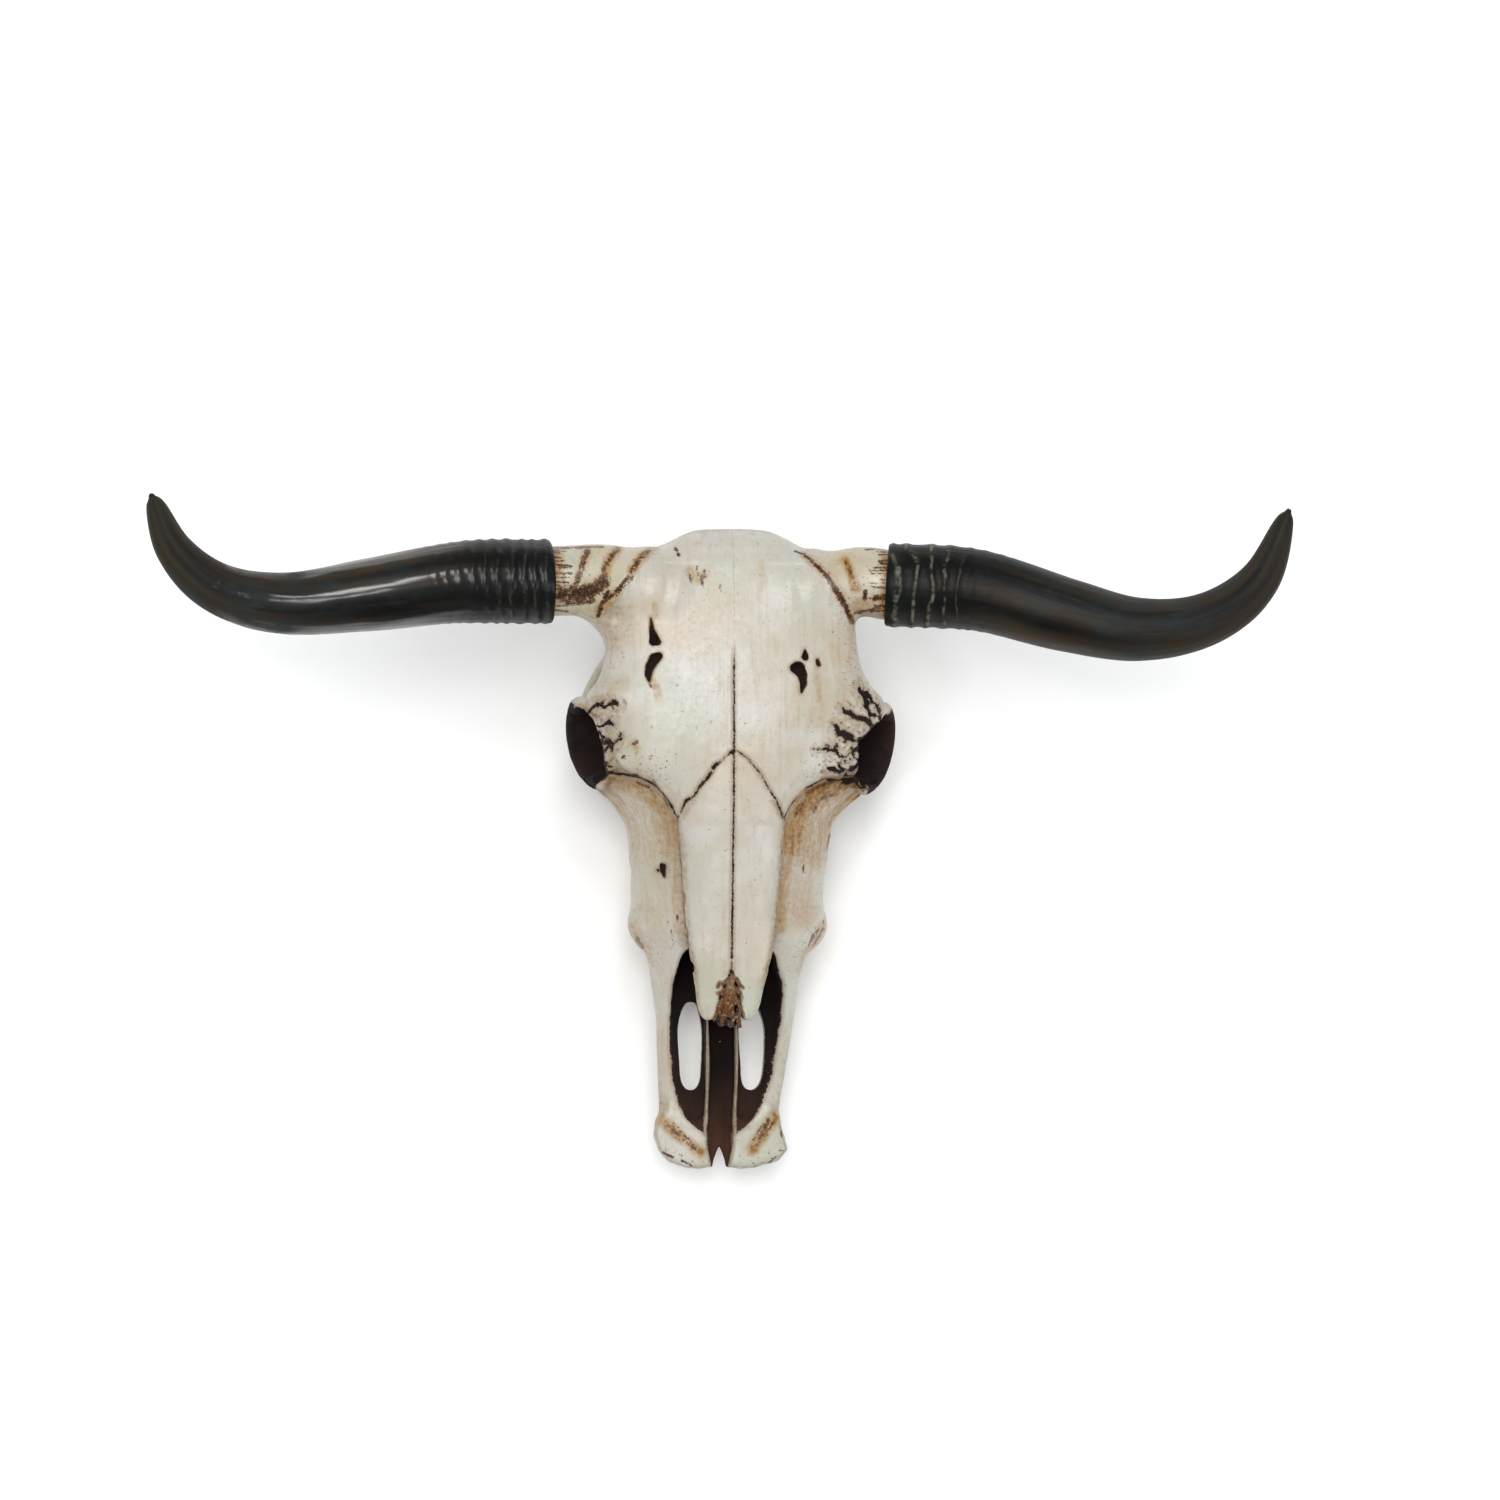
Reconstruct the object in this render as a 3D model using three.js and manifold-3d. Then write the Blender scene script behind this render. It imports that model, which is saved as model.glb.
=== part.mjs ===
// Longhorn steer skull, without its lower jaw, as it lies on its upper teeth and jugular processes.
// Millimetres. X runs across the skull, +Y towards the poll, +Z up out of the forehead.
// The bones are modelled as one whole skull of lofts and sweeps and then parted along their sutures.
import * as THREE from "three";
import { mergeVertices } from "three/addons/utils/BufferGeometryUtils.js";
import Module from "manifold-3d";

const wasm = await Module();
wasm.setup();

// ---- Driving dimensions -----------------------------------------------------------------
const SUTURE = 0.4; // gap left by every cut that parts two bones
const FLOOR = 0; // level that the teeth and the jugular processes stand on

// places along the skull, from the tip of the premaxilla to the poll
const TIP_Y = -252;
const APERTURE_Y = -222; // front end of the nose opening
const FISSURE_Y = -153; // middle of the palatine fissures
const NASAL_TIP_Y = -132;
const DIASTEMA_Y = -110; // front of the first premolar
const TUBEROSITY_Y = -58; // facial tuberosity
const TOOTH_END_Y = 24; // back of the last molar
const NASION_Y = 79.2; // top of the V between the frontal bones
const ORBIT_Y = 86;
const WAIST_Y = 165; // narrowest place behind the orbits
const HORN_Y = 211;
const POLL_Y = 255;

// heights
const CROWN_Z = 188; // forehead
const PALATE_Z = 46;
const ARCH_Z = 86; // zygomatic arch
const HORN_Z = 165;

// half widths
const WAIST_HALF = 99;
const MAXILLA_HALF = 80;
const BRAINCASE_HALF = 62;
const NASAL_HALF = 42;

const BONE_COLOUR = 0xd9d0bd;
const CORE_COLOUR = 0xcdbb99;
const HORN_COLOUR = 0x2a2523;
const CRUST_COLOUR = 0x6a4527;

// ---- Curves and solids ------------------------------------------------------------------
// A smooth curve through [position, value] pairs, with no overshoot between them.
function curve(pairs) {
  const [xs, vs] = [pairs.map((p) => p[0]), pairs.map((p) => p[1])];
  const last = xs.length - 1;
  const slopes = xs.slice(1).map((x, i) => (vs[i + 1] - vs[i]) / (x - xs[i]));
  const tangents = xs.map((_, i) => {
    if (i === 0) return slopes[0];
    if (i === last) return slopes[last - 1];
    const [a, b] = [slopes[i - 1], slopes[i]];
    return a * b <= 0 ? 0 : (2 * a * b) / (a + b);
  });
  return (x) => {
    if (x <= xs[0]) return vs[0];
    if (x >= xs[last]) return vs[last];
    const i = xs.findIndex((next) => next > x) - 1;
    const h = xs[i + 1] - xs[i];
    const t = (x - xs[i]) / h;
    const [t2, t3] = [t * t, t * t * t];
    return (
      vs[i] * (2 * t3 - 3 * t2 + 1) +
      vs[i + 1] * (3 * t2 - 2 * t3) +
      h * (tangents[i] * (t3 - 2 * t2 + t) + tangents[i + 1] * (t3 - t2))
    );
  };
}

// Closes a row of equal rings into one body, with a fan over each end.
function skinOver(rings) {
  const sides = rings[0].length;
  const points = rings.flat();
  const index = [];
  for (let r = 0; r + 1 < rings.length; r++)
    for (let s = 0; s < sides; s++) {
      const [a, b] = [r * sides + s, r * sides + ((s + 1) % sides)];
      index.push(a, b, b + sides, a, b + sides, a + sides);
    }
  for (const [ring, flip] of [[0, true], [rings.length - 1, false]]) {
    const centre = rings[ring].reduce((sum, p) => sum.add(p), new THREE.Vector3());
    const hub = points.push(centre.divideScalar(sides)) - 1;
    for (let s = 0; s < sides; s++) {
      const [a, b] = [ring * sides + s, ring * sides + ((s + 1) % sides)];
      index.push(...(flip ? [b, a, hub] : [a, b, hub]));
    }
  }
  const geometry = new THREE.BufferGeometry().setFromPoints(points);
  geometry.setIndex(index);
  return geometry;
}

function solid(geometry) {
  const bare = geometry.clone();
  bare.deleteAttribute("normal");
  bare.deleteAttribute("uv");
  const merged = mergeVertices(bare, 1e-4);
  const made = new wasm.Manifold(
    new wasm.Mesh({
      numProp: 3,
      vertProperties: merged.attributes.position.array,
      triVerts: new Uint32Array(merged.index.array),
    }),
  );
  if (made.volume() > 0) return made;
  const turned = merged.index.array.slice();
  for (let i = 0; i < turned.length; i += 3)
    [turned[i], turned[i + 1]] = [turned[i + 1], turned[i]];
  merged.setIndex([...turned]);
  return solid(merged);
}

const joined = (solids) => solids.reduce((sum, s) => sum.add(s));

// The same solid on the other side of the skull.
function mirrored(body) {
  const m = body.getMesh();
  const positions = new Float32Array(m.numVert * 3);
  for (let i = 0; i < m.numVert; i++) {
    positions.set(m.vertProperties.subarray(i * m.numProp, i * m.numProp + 3), i * 3);
    positions[i * 3] *= -1;
  }
  const geometry = new THREE.BufferGeometry();
  geometry.setAttribute("position", new THREE.BufferAttribute(positions, 3));
  geometry.setIndex([...m.triVerts]);
  return solid(geometry);
}

const bothSides = (body) => [body, mirrored(body)];

// A loft along Y. Each section is a superellipse: half its width, its top, bottom and widest
// level are curves of y, and the powers say how square its upper and lower halves are.
function loft({ from, to, steps, sides, half, top, bottom, level, upper, lower, shift }) {
  const rings = [];
  for (let i = 0; i <= steps; i++) {
    const y = THREE.MathUtils.lerp(from, to, i / steps);
    const ring = [];
    for (let s = 0; s < sides; s++) {
      const angle = (2 * Math.PI * (s + 0.5)) / sides;
      const [c, d] = [Math.cos(angle), Math.sin(angle)];
      const power = d > 0 ? upper : lower;
      const reach = d > 0 ? top(y) - level(y) : level(y) - bottom(y);
      ring.push(
        new THREE.Vector3(
          (shift ? shift(y) : 0) + half(y) * Math.sign(c) * Math.abs(c) ** (2 / power),
          y,
          level(y) + reach * Math.sign(d) * Math.abs(d) ** (2 / power),
        ),
      );
    }
    rings.push(ring);
  }
  return solid(skinOver(rings));
}

// A bar through the given points. Its oval section has one radius across and one along `up`.
function sweep(points, across, along, { steps = 8, stations, sides = 8, up = [0, 0, 1] } = {}) {
  const path = new THREE.CatmullRomCurve3(points.map((p) => new THREE.Vector3(...p)));
  const places = stations ?? Array.from({ length: steps + 1 }, (_, i) => i / steps);
  const rings = places.map((t) => {
    const centre = path.getPointAt(t);
    const tangent = path.getTangentAt(t);
    const side = new THREE.Vector3(...up).cross(tangent).normalize();
    const rise = tangent.clone().cross(side).normalize();
    return Array.from({ length: sides }, (_, s) => {
      const angle = (2 * Math.PI * s) / sides;
      return centre
        .clone()
        .addScaledVector(side, across(t) * Math.cos(angle))
        .addScaledVector(rise, along(t) * Math.sin(angle));
    });
  });
  return solid(skinOver(rings));
}

function ellipsoid([x, y, z], [rx, ry, rz], sides = 14) {
  const ball = new THREE.SphereGeometry(1, sides, Math.round(sides * 0.6));
  return solid(ball.scale(rx, ry, rz).translate(x, y, z));
}

// A straight-sided block over an outline drawn in the XY plane, between two levels of z.
function plan(outline, low, high) {
  const shape = new THREE.Shape(outline.map(([x, y]) => new THREE.Vector2(x, y)));
  const block = new THREE.ExtrudeGeometry(shape, { depth: high - low, bevelEnabled: false });
  return solid(block.translate(0, 0, low));
}

// A straight-sided block over an outline drawn in the YZ plane, between two values of x.
function profile(outline, low, high) {
  const shape = new THREE.Shape(outline.map(([y, z]) => new THREE.Vector2(y, z)));
  const block = new THREE.ExtrudeGeometry(shape, { depth: high - low, bevelEnabled: false });
  const turn = new THREE.Matrix4().makeBasis(
    new THREE.Vector3(0, 1, 0),
    new THREE.Vector3(0, 0, 1),
    new THREE.Vector3(1, 0, 0),
  );
  return solid(block.applyMatrix4(turn).translate(low, 0, 0));
}

// Moves every side of an outline outwards by `gap`.
function grown(outline, gap) {
  const turn = Math.sign(THREE.ShapeUtils.area(outline.map(([x, y]) => ({ x, y }))));
  const count = outline.length;
  return outline.map(([x, y], i) => {
    const [px, py] = outline[(i + count - 1) % count];
    const [nx, ny] = outline[(i + 1) % count];
    const before = new THREE.Vector2(y - py, px - x).normalize();
    const after = new THREE.Vector2(ny - y, x - nx).normalize();
    const miter = before.clone().add(after).normalize();
    const reach = (turn * gap) / Math.max(0.4, miter.dot(after));
    return [x + miter.x * reach, y + miter.y * reach];
  });
}

// ---- Braincase and forehead -------------------------------------------------------------
const crown = curve([
  [TIP_Y, 120],
  [NASAL_TIP_Y, 153],
  [TUBEROSITY_Y, 166],
  [0, 176],
  [50, 184],
  [100, CROWN_Z],
  [200, CROWN_Z - 3],
  [238, 178],
  [POLL_Y, 163],
]);

// The forehead is a slab that runs from the V of the nasal bones to the mound of the poll.
const forehead = loft({
  from: 22,
  to: POLL_Y,
  steps: 11,
  sides: 12,
  half: curve([
    [22, 40],
    [36, 47],
    [51, 60],
    [60, 78],
    [68, 92],
    [80, 97],
    [95, 101],
    [110, 113],
    [120, 117],
    [134, 107],
    [150, 101],
    [WAIST_Y, WAIST_HALF],
    [185, 97],
    [HORN_Y, 86],
    [230, 62],
    [243, 46],
    [250, 34],
    [POLL_Y, 22],
  ]),
  top: crown,
  bottom: curve([[22, 110], [60, 112], [110, 122], [150, 128], [200, 112], [POLL_Y, 132]]),
  level: (y) => crown(y) - (y > 225 ? 16 : 26),
  upper: 2.7,
  lower: 2.6,
});

const braincase = loft({
  from: 60,
  to: 240,
  steps: 6,
  sides: 10,
  half: curve([
    [60, 46],
    [110, 54],
    [150, BRAINCASE_HALF - 3],
    [180, BRAINCASE_HALF + 2],
    [205, 76],
    [222, 84],
    [234, 80],
    [240, 68],
  ]),
  top: curve([[60, 165], [200, 170], [240, 163]]),
  bottom: curve([[60, 60], [110, 62], [170, 56], [215, 48], [240, 56]]),
  level: curve([[60, 112], [150, 108], [240, 100]]),
  upper: 2.6,
  lower: 2.2,
});

// The bar of bone under the braincase, with the two muscular tubercles on it.
const skullBase = loft({
  from: 88,
  to: 236,
  steps: 4,
  sides: 8,
  half: curve([[88, 12], [140, 15], [180, 21], [210, 30], [236, 34]]),
  top: () => 80,
  bottom: curve([[88, 56], [140, 48], [185, 38], [210, 34], [236, 42]]),
  level: () => 60,
  upper: 2,
  lower: 2.4,
});

const condyle = ellipsoid([23, 231, 49], [19, 17, 23], 9);

const jugularProcess = sweep(
  [[50, 214, 74], [53, 210, 48], [51, 205, 22], [48, 200, -4]],
  (t) => 11 - 5 * t,
  (t) => 18 - 9 * t,
  { steps: 3, sides: 6, up: [0, 1, 0] },
);

const bulla = ellipsoid([43, 178, 52], [12, 16, 20], 8);
const earTube = sweep(
  [[48, 184, 70], [64, 186, 76], [80, 188, 82]],
  () => 9,
  () => 10,
  { steps: 2, sides: 6 },
);

const nuchalTuberosity = ellipsoid([0, 236, 138], [20, 9, 16], 10);

// ---- Face ---------------------------------------------------------------------------------
// The face narrows from the cheeks to the two bars that reach forward to the premaxilla.
const muzzle = loft({
  from: -216,
  to: 70,
  steps: 11,
  sides: 10,
  half: curve([
    [-216, 49],
    [-196, 48],
    [-150, 52.5],
    [-118, 54.5],
    [-102, 55.5],
    [-83, 62],
    [-71, 70.5],
    [TUBEROSITY_Y, MAXILLA_HALF - 3],
    [-40, MAXILLA_HALF - 3],
    [0, MAXILLA_HALF],
    [30, MAXILLA_HALF - 1],
    [70, 67],
  ]),
  top: curve([
    [-216, 63],
    [-190, 67],
    [-165, 75],
    [-140, 89],
    [-118, 107],
    [-95, 132],
    [-77, 148],
    [-40, 158],
    [0, 165],
    [70, 172],
  ]),
  bottom: curve([[-216, 47], [DIASTEMA_Y, 46], [-60, 40], [0, 34], [40, 34], [70, 46]]),
  level: curve([[-216, 54], [-165, 59], [-128, 66], [-60, 72], [0, 78], [70, 90]]),
  upper: 1.75,
  lower: 3,
});

// In front of each orbit the face widens and slopes down from the forehead to the cheek.
const cheeks = loft({
  from: -36,
  to: 72,
  steps: 4,
  sides: 10,
  half: curve([[-36, 70], [0, 75], [22, 78], [38, 88], [52, 98], [64, 102], [72, 100]]),
  top: curve([[-36, 146], [0, 163], [30, 172], [72, 177]]),
  bottom: curve([[-36, 62], [22, 68], [72, 88]]),
  level: curve([[-36, 92], [22, 102], [50, 114], [72, 120]]),
  upper: 1.6,
  lower: 1.8,
});

const tuberosity = ellipsoid([70, TUBEROSITY_Y, 70], [8.5, 12, 13], 8);

// Cheek teeth: three premolars of one lobe, then three molars of two, worn to one surface that
// is level at the back, where the skull stands on it.
const PREMOLAR_LENGTHS = [17, 19, 19];
const MOLAR_LENGTHS = [23, 26, 30];
const SPREAD = 0.085; // how fast the two rows part towards the back
const bite = curve([[DIASTEMA_Y, 12], [-60, 5], [-8, 0], [TOOTH_END_Y, 0]]);

function toothLobe(y, length, halfWidth) {
  const x = 46 + SPREAD * (y - DIASTEMA_Y);
  const ring = (z, share) =>
    Array.from({ length: 6 }, (_, s) => {
      const angle = (2 * Math.PI * (s + 0.5)) / 6;
      const across = share * halfWidth * Math.cos(angle);
      const along = share * 0.48 * length * Math.sin(angle);
      return new THREE.Vector3(x + across, y + along, z);
    });
  return solid(skinOver([ring(bite(y), 1), ring(54, 0.85)]));
}

function cheekTeeth() {
  const lobes = [];
  let front = DIASTEMA_Y;
  [...PREMOLAR_LENGTHS, ...MOLAR_LENGTHS].forEach((length, tooth) => {
    const count = tooth < PREMOLAR_LENGTHS.length ? 1 : 2;
    for (let lobe = 0; lobe < count; lobe++) {
      const y = front + (length * (lobe + 0.5)) / count;
      lobes.push(toothLobe(y, length / count, 7.5 + 0.4 * tooth));
    }
    front += length;
  });
  return joined(lobes);
}

const alveolarRidge = sweep(
  [[42, -118, 48], [49, -70, 40], [56, 0, 34], [58, TOOTH_END_Y + 8, 40]],
  () => 12,
  () => 15,
  { steps: 4, sides: 6 },
);

// The vertical plates on each side of the inner nostrils.
const pterygoid = loft({
  from: 34,
  to: 128,
  steps: 3,
  sides: 6,
  half: () => 4,
  top: () => 90,
  bottom: curve([[34, 38], [70, 34], [110, 32], [128, 42]]),
  level: () => 64,
  upper: 4,
  lower: 4,
  shift: curve([[34, 30], [128, 20]]),
});

// ---- Orbits and zygomatic arches ----------------------------------------------------------
const ORBIT = new THREE.Vector3(113, ORBIT_Y, 128); // middle of the right orbit's rim
const GAZE = new THREE.Vector3(0.9, -0.228, 0.372).normalize(); // the way that rim faces
const ORBIT_RADIUS = 31; // to the middle of the rim
const RIM = 5.5;
const ORBIT_DEPTH = 60;

function alongGaze(geometry) {
  const turn = new THREE.Quaternion().setFromUnitVectors(new THREE.Vector3(0, 0, 1), GAZE);
  return solid(geometry.applyQuaternion(turn).translate(ORBIT.x, ORBIT.y, ORBIT.z));
}

const orbitRim = alongGaze(new THREE.TorusGeometry(ORBIT_RADIUS, RIM, 5, 12));

// Bone behind the rim that the socket is then hollowed out of.
const orbitWall = alongGaze(
  new THREE.LatheGeometry(
    [[0, -56], [13, -56], [25, -40], [32, -20], [36, 0], [0, 0]].map(
      ([r, h]) => new THREE.Vector2(r, h),
    ),
    12,
  ).rotateX(Math.PI / 2),
);

const orbitHollow = alongGaze(
  new THREE.LatheGeometry(
    [[0, -ORBIT_DEPTH], [10, -52], [19, -40], [26, -12], [28, 4], [38, 24], [0, 24]].map(
      ([r, h]) => new THREE.Vector2(r, h),
    ),
    12,
  ).rotateX(Math.PI / 2),
);

const cheekBone = sweep(
  [[68, 2, 76], [76, 28, 82], [95, 50, 88], [115, 76, 88], [119, 108, 90]],
  (t) => 12 - 5 * t,
  (t) => 20 - 9 * t,
  { steps: 5, sides: 7 },
);

const zygomaticArch = sweep(
  [[120, 92, 88], [115, 118, ARCH_Z], [101, 144, ARCH_Z + 2], [86, 165, ARCH_Z + 1], [58, 190, 90]],
  (t) => 5.5 + 2 * t,
  (t) => 10 + 2 * t,
  { steps: 5, sides: 7 },
);

// ---- Nasal bones and the opening of the nose ------------------------------------------------
const nasalHalf = curve([
  [NASAL_TIP_Y, 21],
  [-118, 25.5],
  [-105, 27.5],
  [-77, 33],
  [-24, 38],
  [22, NASAL_HALF],
  [NASION_Y, NASAL_HALF],
]);
const roofDepth = curve([[NASAL_TIP_Y, 11], [-85, 13], [-35, 25], [NASION_Y, 26]]);
const nasalRoof = loft({
  from: NASAL_TIP_Y,
  to: NASION_Y,
  steps: 7,
  sides: 8,
  half: nasalHalf,
  top: crown,
  bottom: (y) => crown(y) - roofDepth(y),
  level: (y) => crown(y) - 0.72 * roofDepth(y),
  upper: 2,
  lower: 3,
});

// Rounds the tip of each nasal bone and opens the notch between the two.
const notch = [[14, -132.5], [10.8, -130], [9.4, -122], [7.4, -112], [4.4, -103], [1, -93]];
const nasalTip = [[28, -105], [26, -118], [23, -127], [18, NASAL_TIP_Y], ...notch];
const nasalNotch = plan([...nasalTip, [-6, -93], [-6, -150], [60, -150], [60, -105]], 120, 200);

// Dried cartilage and crust fill the notch, over the rough end of the septum.
const crustOutline = [[10.5, -125], [4, -96], [-4, -96], [-10.5, -125], [-9, -137], [9, -137]];
const notchFilling = plan(crustOutline, 128.3, 148.7);

const noseDuct = loft({
  from: APERTURE_Y,
  to: -24,
  steps: 7,
  sides: 8,
  half: curve([
    [APERTURE_Y, 14],
    [-212, 26],
    [-196, 35],
    [-170, 40],
    [-140, 41.5],
    [-118, 41.5],
    [-100, 39],
    [-88, 36.5],
    [-70, 31],
    [-50, 27],
    [-24, 12],
  ]),
  top: curve([[-103, 230], [-89, 172], [-68, 138], [-24, 124]]),
  bottom: curve([[APERTURE_Y, 53], [-90, 56], [-24, 74]]),
  level: curve([[APERTURE_Y, 70], [-77, 92], [-24, 98]]),
  upper: 3.2,
  lower: 3.2,
});

// The nasal septum stands in the nose between the two ducts, and its rough end shows.
const septum = loft({
  from: -136,
  to: -20,
  steps: 3,
  sides: 8,
  half: curve([[-136, 6], [-104, 5], [-20, 3]]),
  top: curve([[-136, 118], [-118, 140], [-104, 152], [-20, 160]]),
  bottom: () => 52,
  level: () => 90,
  upper: 4,
  lower: 4,
});

// ---- Premaxilla -----------------------------------------------------------------------------
const PLATE_TOP = 62;
const CHANNEL_HALF = 10;
const FISSURE_X = 25;
const FISSURE_HALF = 9.8;
const FISSURE_REACH = 35;

const premaxillaOutline = [
  [6.5, TIP_Y + 2],
  [16, TIP_Y],
  [28, TIP_Y + 1],
  [41, -246],
  [49, -237],
  [51, -226],
  [49, -212],
  [40, -200],
  [24, -214],
  [CHANNEL_HALF, -206],
  [CHANNEL_HALF, -232],
];
const plate = plan(premaxillaOutline, PALATE_Z, PLATE_TOP);

// The floor of the nose. It runs on between the plates to a notch at the tip, and the two
// palatine fissures go through it.
const noseFloorOutline = [
  [-6, TIP_Y + 3],
  [0, -234],
  [6, TIP_Y + 3],
  [CHANNEL_HALF + 1, -232],
  [CHANNEL_HALF + 1, -216],
  [30, -216],
  [46, -196],
  [50, -100],
  [-50, -100],
  [-46, -196],
  [-30, -216],
  [-CHANNEL_HALF - 1, -216],
  [-CHANNEL_HALF - 1, -232],
];
const fissureOutline = Array.from({ length: 12 }, (_, i) => {
  const angle = (2 * Math.PI * (i + 0.5)) / 12;
  return [FISSURE_X + FISSURE_HALF * Math.cos(angle), FISSURE_Y + FISSURE_REACH * Math.sin(angle)];
});
const noseFloor = plan(noseFloorOutline, 45, 53);

// A thin rail of bone stands beside the middle of the floor.
const vomerRail = sweep(
  [[CHANNEL_HALF + 1.5, -214, 56], [CHANNEL_HALF + 1.5, -170, 60], [CHANNEL_HALF + 1.5, -122, 66]],
  () => 2.2,
  (t) => 8 + 8 * t,
  { steps: 4, sides: 6 },
);

// ---- Horn cores and sheaths -----------------------------------------------------------------
const CORE_RADIUS = 27.5;
const COLLAR_RADIUS = 32.5;
const SOCKET_DEPTH = 14;
const SOCKET_GAP = 0.6;

// Middle line of each sheath, from its collar to its tip. The left core is the longer one.
const leftHornLine = [
  [-143, 211.5, 168.5],
  [-215, 209, 177],
  [-286, 197, 190],
  [-347, 189.5, 202],
  [-396, 201, 211],
  [-428, 230, 218],
  [-445, 272, 222],
];
const rightHornLine = [
  [122, 211, 168],
  [192, 206.5, 177],
  [262, 186, 189],
  [318, 174, 199],
  [370, 181, 208],
  [411, 211, 215],
  [436, 264, 222],
];

const hornRadius = curve([
  [0, COLLAR_RADIUS],
  [0.12, 32.5],
  [0.25, 31],
  [0.4, 28.5],
  [0.55, 25],
  [0.7, 21],
  [0.8, 18],
  [0.9, 13.5],
  [0.96, 9],
  [1, 4],
]);
const RING_COUNT = 7;
const RING_SHARE = 0.22; // of the horn's length
const RING_HEIGHT = 1.3;

function growthRings(t) {
  if (t > RING_SHARE) return 0;
  return -RING_HEIGHT * Math.cos((2 * Math.PI * RING_COUNT * t) / RING_SHARE);
}

// Stations along a sheath: one on each crest and hollow of the rings, then evenly to the tip.
const hornStations = [
  ...Array.from({ length: 2 * RING_COUNT }, (_, i) => (RING_SHARE * i) / (2 * RING_COUNT)),
  ...Array.from({ length: 14 }, (_, i) => RING_SHARE + ((1 - RING_SHARE) * i) / 13),
];

function sheath(line) {
  const radius = (t) => hornRadius(t) + growthRings(t);
  const body = sweep(line, radius, radius, { stations: hornStations, sides: 8 });
  return body.subtract(socket(line, CORE_RADIUS + SOCKET_GAP, SOCKET_DEPTH));
}

// The round peg of core inside the collar, or the hole that it stands in.
function socket(line, radius, depth) {
  const path = new THREE.CatmullRomCurve3(line.map((p) => new THREE.Vector3(...p)));
  const outwards = path.getTangentAt(0);
  const mouth = path.getPointAt(0).addScaledVector(outwards, -8);
  const peg = new THREE.CylinderGeometry(radius, radius, depth + 8, 10).rotateX(Math.PI / 2);
  const turn = new THREE.Quaternion().setFromUnitVectors(new THREE.Vector3(0, 0, 1), outwards);
  const middle = mouth.clone().addScaledVector(outwards, (depth + 8) / 2);
  return solid(peg.applyQuaternion(turn).translate(middle.x, middle.y, middle.z));
}

function hornCore(line) {
  const side = Math.sign(line[0][0]);
  const [start] = line;
  const outwards = new THREE.Vector3(...line[1]).sub(new THREE.Vector3(...start)).normalize();
  const end = new THREE.Vector3(...start).addScaledVector(outwards, SOCKET_DEPTH - 1);
  const root = [
    [side * 58, HORN_Y - 6, HORN_Z - 16],
    [side * 84, HORN_Y - 2, HORN_Z - 6],
    [side * 104, HORN_Y, HORN_Z],
  ];
  return sweep(
    [...root, start, end.toArray()],
    (t) => CORE_RADIUS + 11 * Math.max(0, 1 - 2.2 * t) ** 2,
    (t) => CORE_RADIUS + Math.max(0, 1 - 2 * t),
    { steps: 5, sides: 10 },
  );
}

// ---- The whole skull ------------------------------------------------------------------------
const hollowedMuzzle = joined([muzzle, cheeks, ...bothSides(tuberosity), ...bothSides(alveolarRidge)])
  .subtract(noseDuct)
  .add(noseFloor);
const palatineFissures = joined(bothSides(plan(fissureOutline, 20, 75)));
const nose = nasalRoof.subtract(joined(bothSides(nasalNotch)));
const rightSide = joined([
  condyle,
  jugularProcess,
  bulla,
  earTube,
  cheekTeeth(),
  pterygoid,
  orbitWall,
  orbitRim,
  cheekBone,
  zygomaticArch,
  plate,
  vomerRail,
]);
const foramenMagnum = ellipsoid([0, 240, 66], [16, 46, 14], 10);
const innerNostrils = loft({
  from: 40,
  to: 150,
  steps: 3,
  sides: 8,
  half: () => 15,
  top: curve([[40, 62], [90, 76], [150, 60]]),
  bottom: () => 20,
  level: () => 50,
  upper: 2,
  lower: 4,
});
const supraorbitalPit = sweep(
  [[62, 152, 194], [56, 145, 186], [52, 138, 180]],
  () => 4,
  () => 4,
  { steps: 2, sides: 8, up: [1, 0, 0] },
);
const cores = joined([hornCore(leftHornLine), hornCore(rightHornLine)]);
const standing = plan([[-600, -400], [600, -400], [600, 400], [-600, 400]], FLOOR, 400);

const skull = joined([forehead, braincase, skullBase, nuchalTuberosity, hollowedMuzzle, nose])
  .add(joined(bothSides(rightSide)))
  .subtract(joined(bothSides(orbitHollow)))
  .subtract(joined([...bothSides(supraorbitalPit), foramenMagnum, innerNostrils]))
  .subtract(palatineFissures)
  .add(septum)
  .add(notchFilling)
  .add(cores)
  .intersect(standing);

// ---- Bones ----------------------------------------------------------------------------------
// Each bone is what lies inside its own outlines, seen from above and from the right side. It is
// taken from what the bones before it left, with a thin gap all round.
const ALL_PLAN = [[-300, -300], [300, -300], [300, 320], [-300, 320]];
const ALL_PROFILE = [[-300, -50], [320, -50], [320, 300], [-300, 300]];
const FAR = 300;

function region(outlines, gap) {
  const { above = ALL_PLAN, beside = ALL_PROFILE, from = -FAR, to = FAR } = outlines;
  const [low, high] = [from - gap, to + gap];
  return plan(grown(above, gap), -60, 320).intersect(profile(grown(beside, gap), low, high));
}

// Seams seen from above: the edge of the forehead over the face, and the side of a nasal bone.
const browLine = [[NASAL_HALF, 24], [46, 36], [58, 51], [73, 59], [100, 62]];
const nasalSide = [[29, -92], [33, -77], [38, -24], [NASAL_HALF, 24]];

const flipped = (outline) => outline.map(([x, y]) => [-x, y]).reverse();

let remainder = skull;
function take(outlines) {
  const chips = remainder.intersect(region(outlines, 0)).decompose();
  remainder = remainder.subtract(region(outlines, SUTURE));
  return chips.reduce((largest, chip) => (chip.volume() > largest.volume() ? chip : largest));
}

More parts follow.
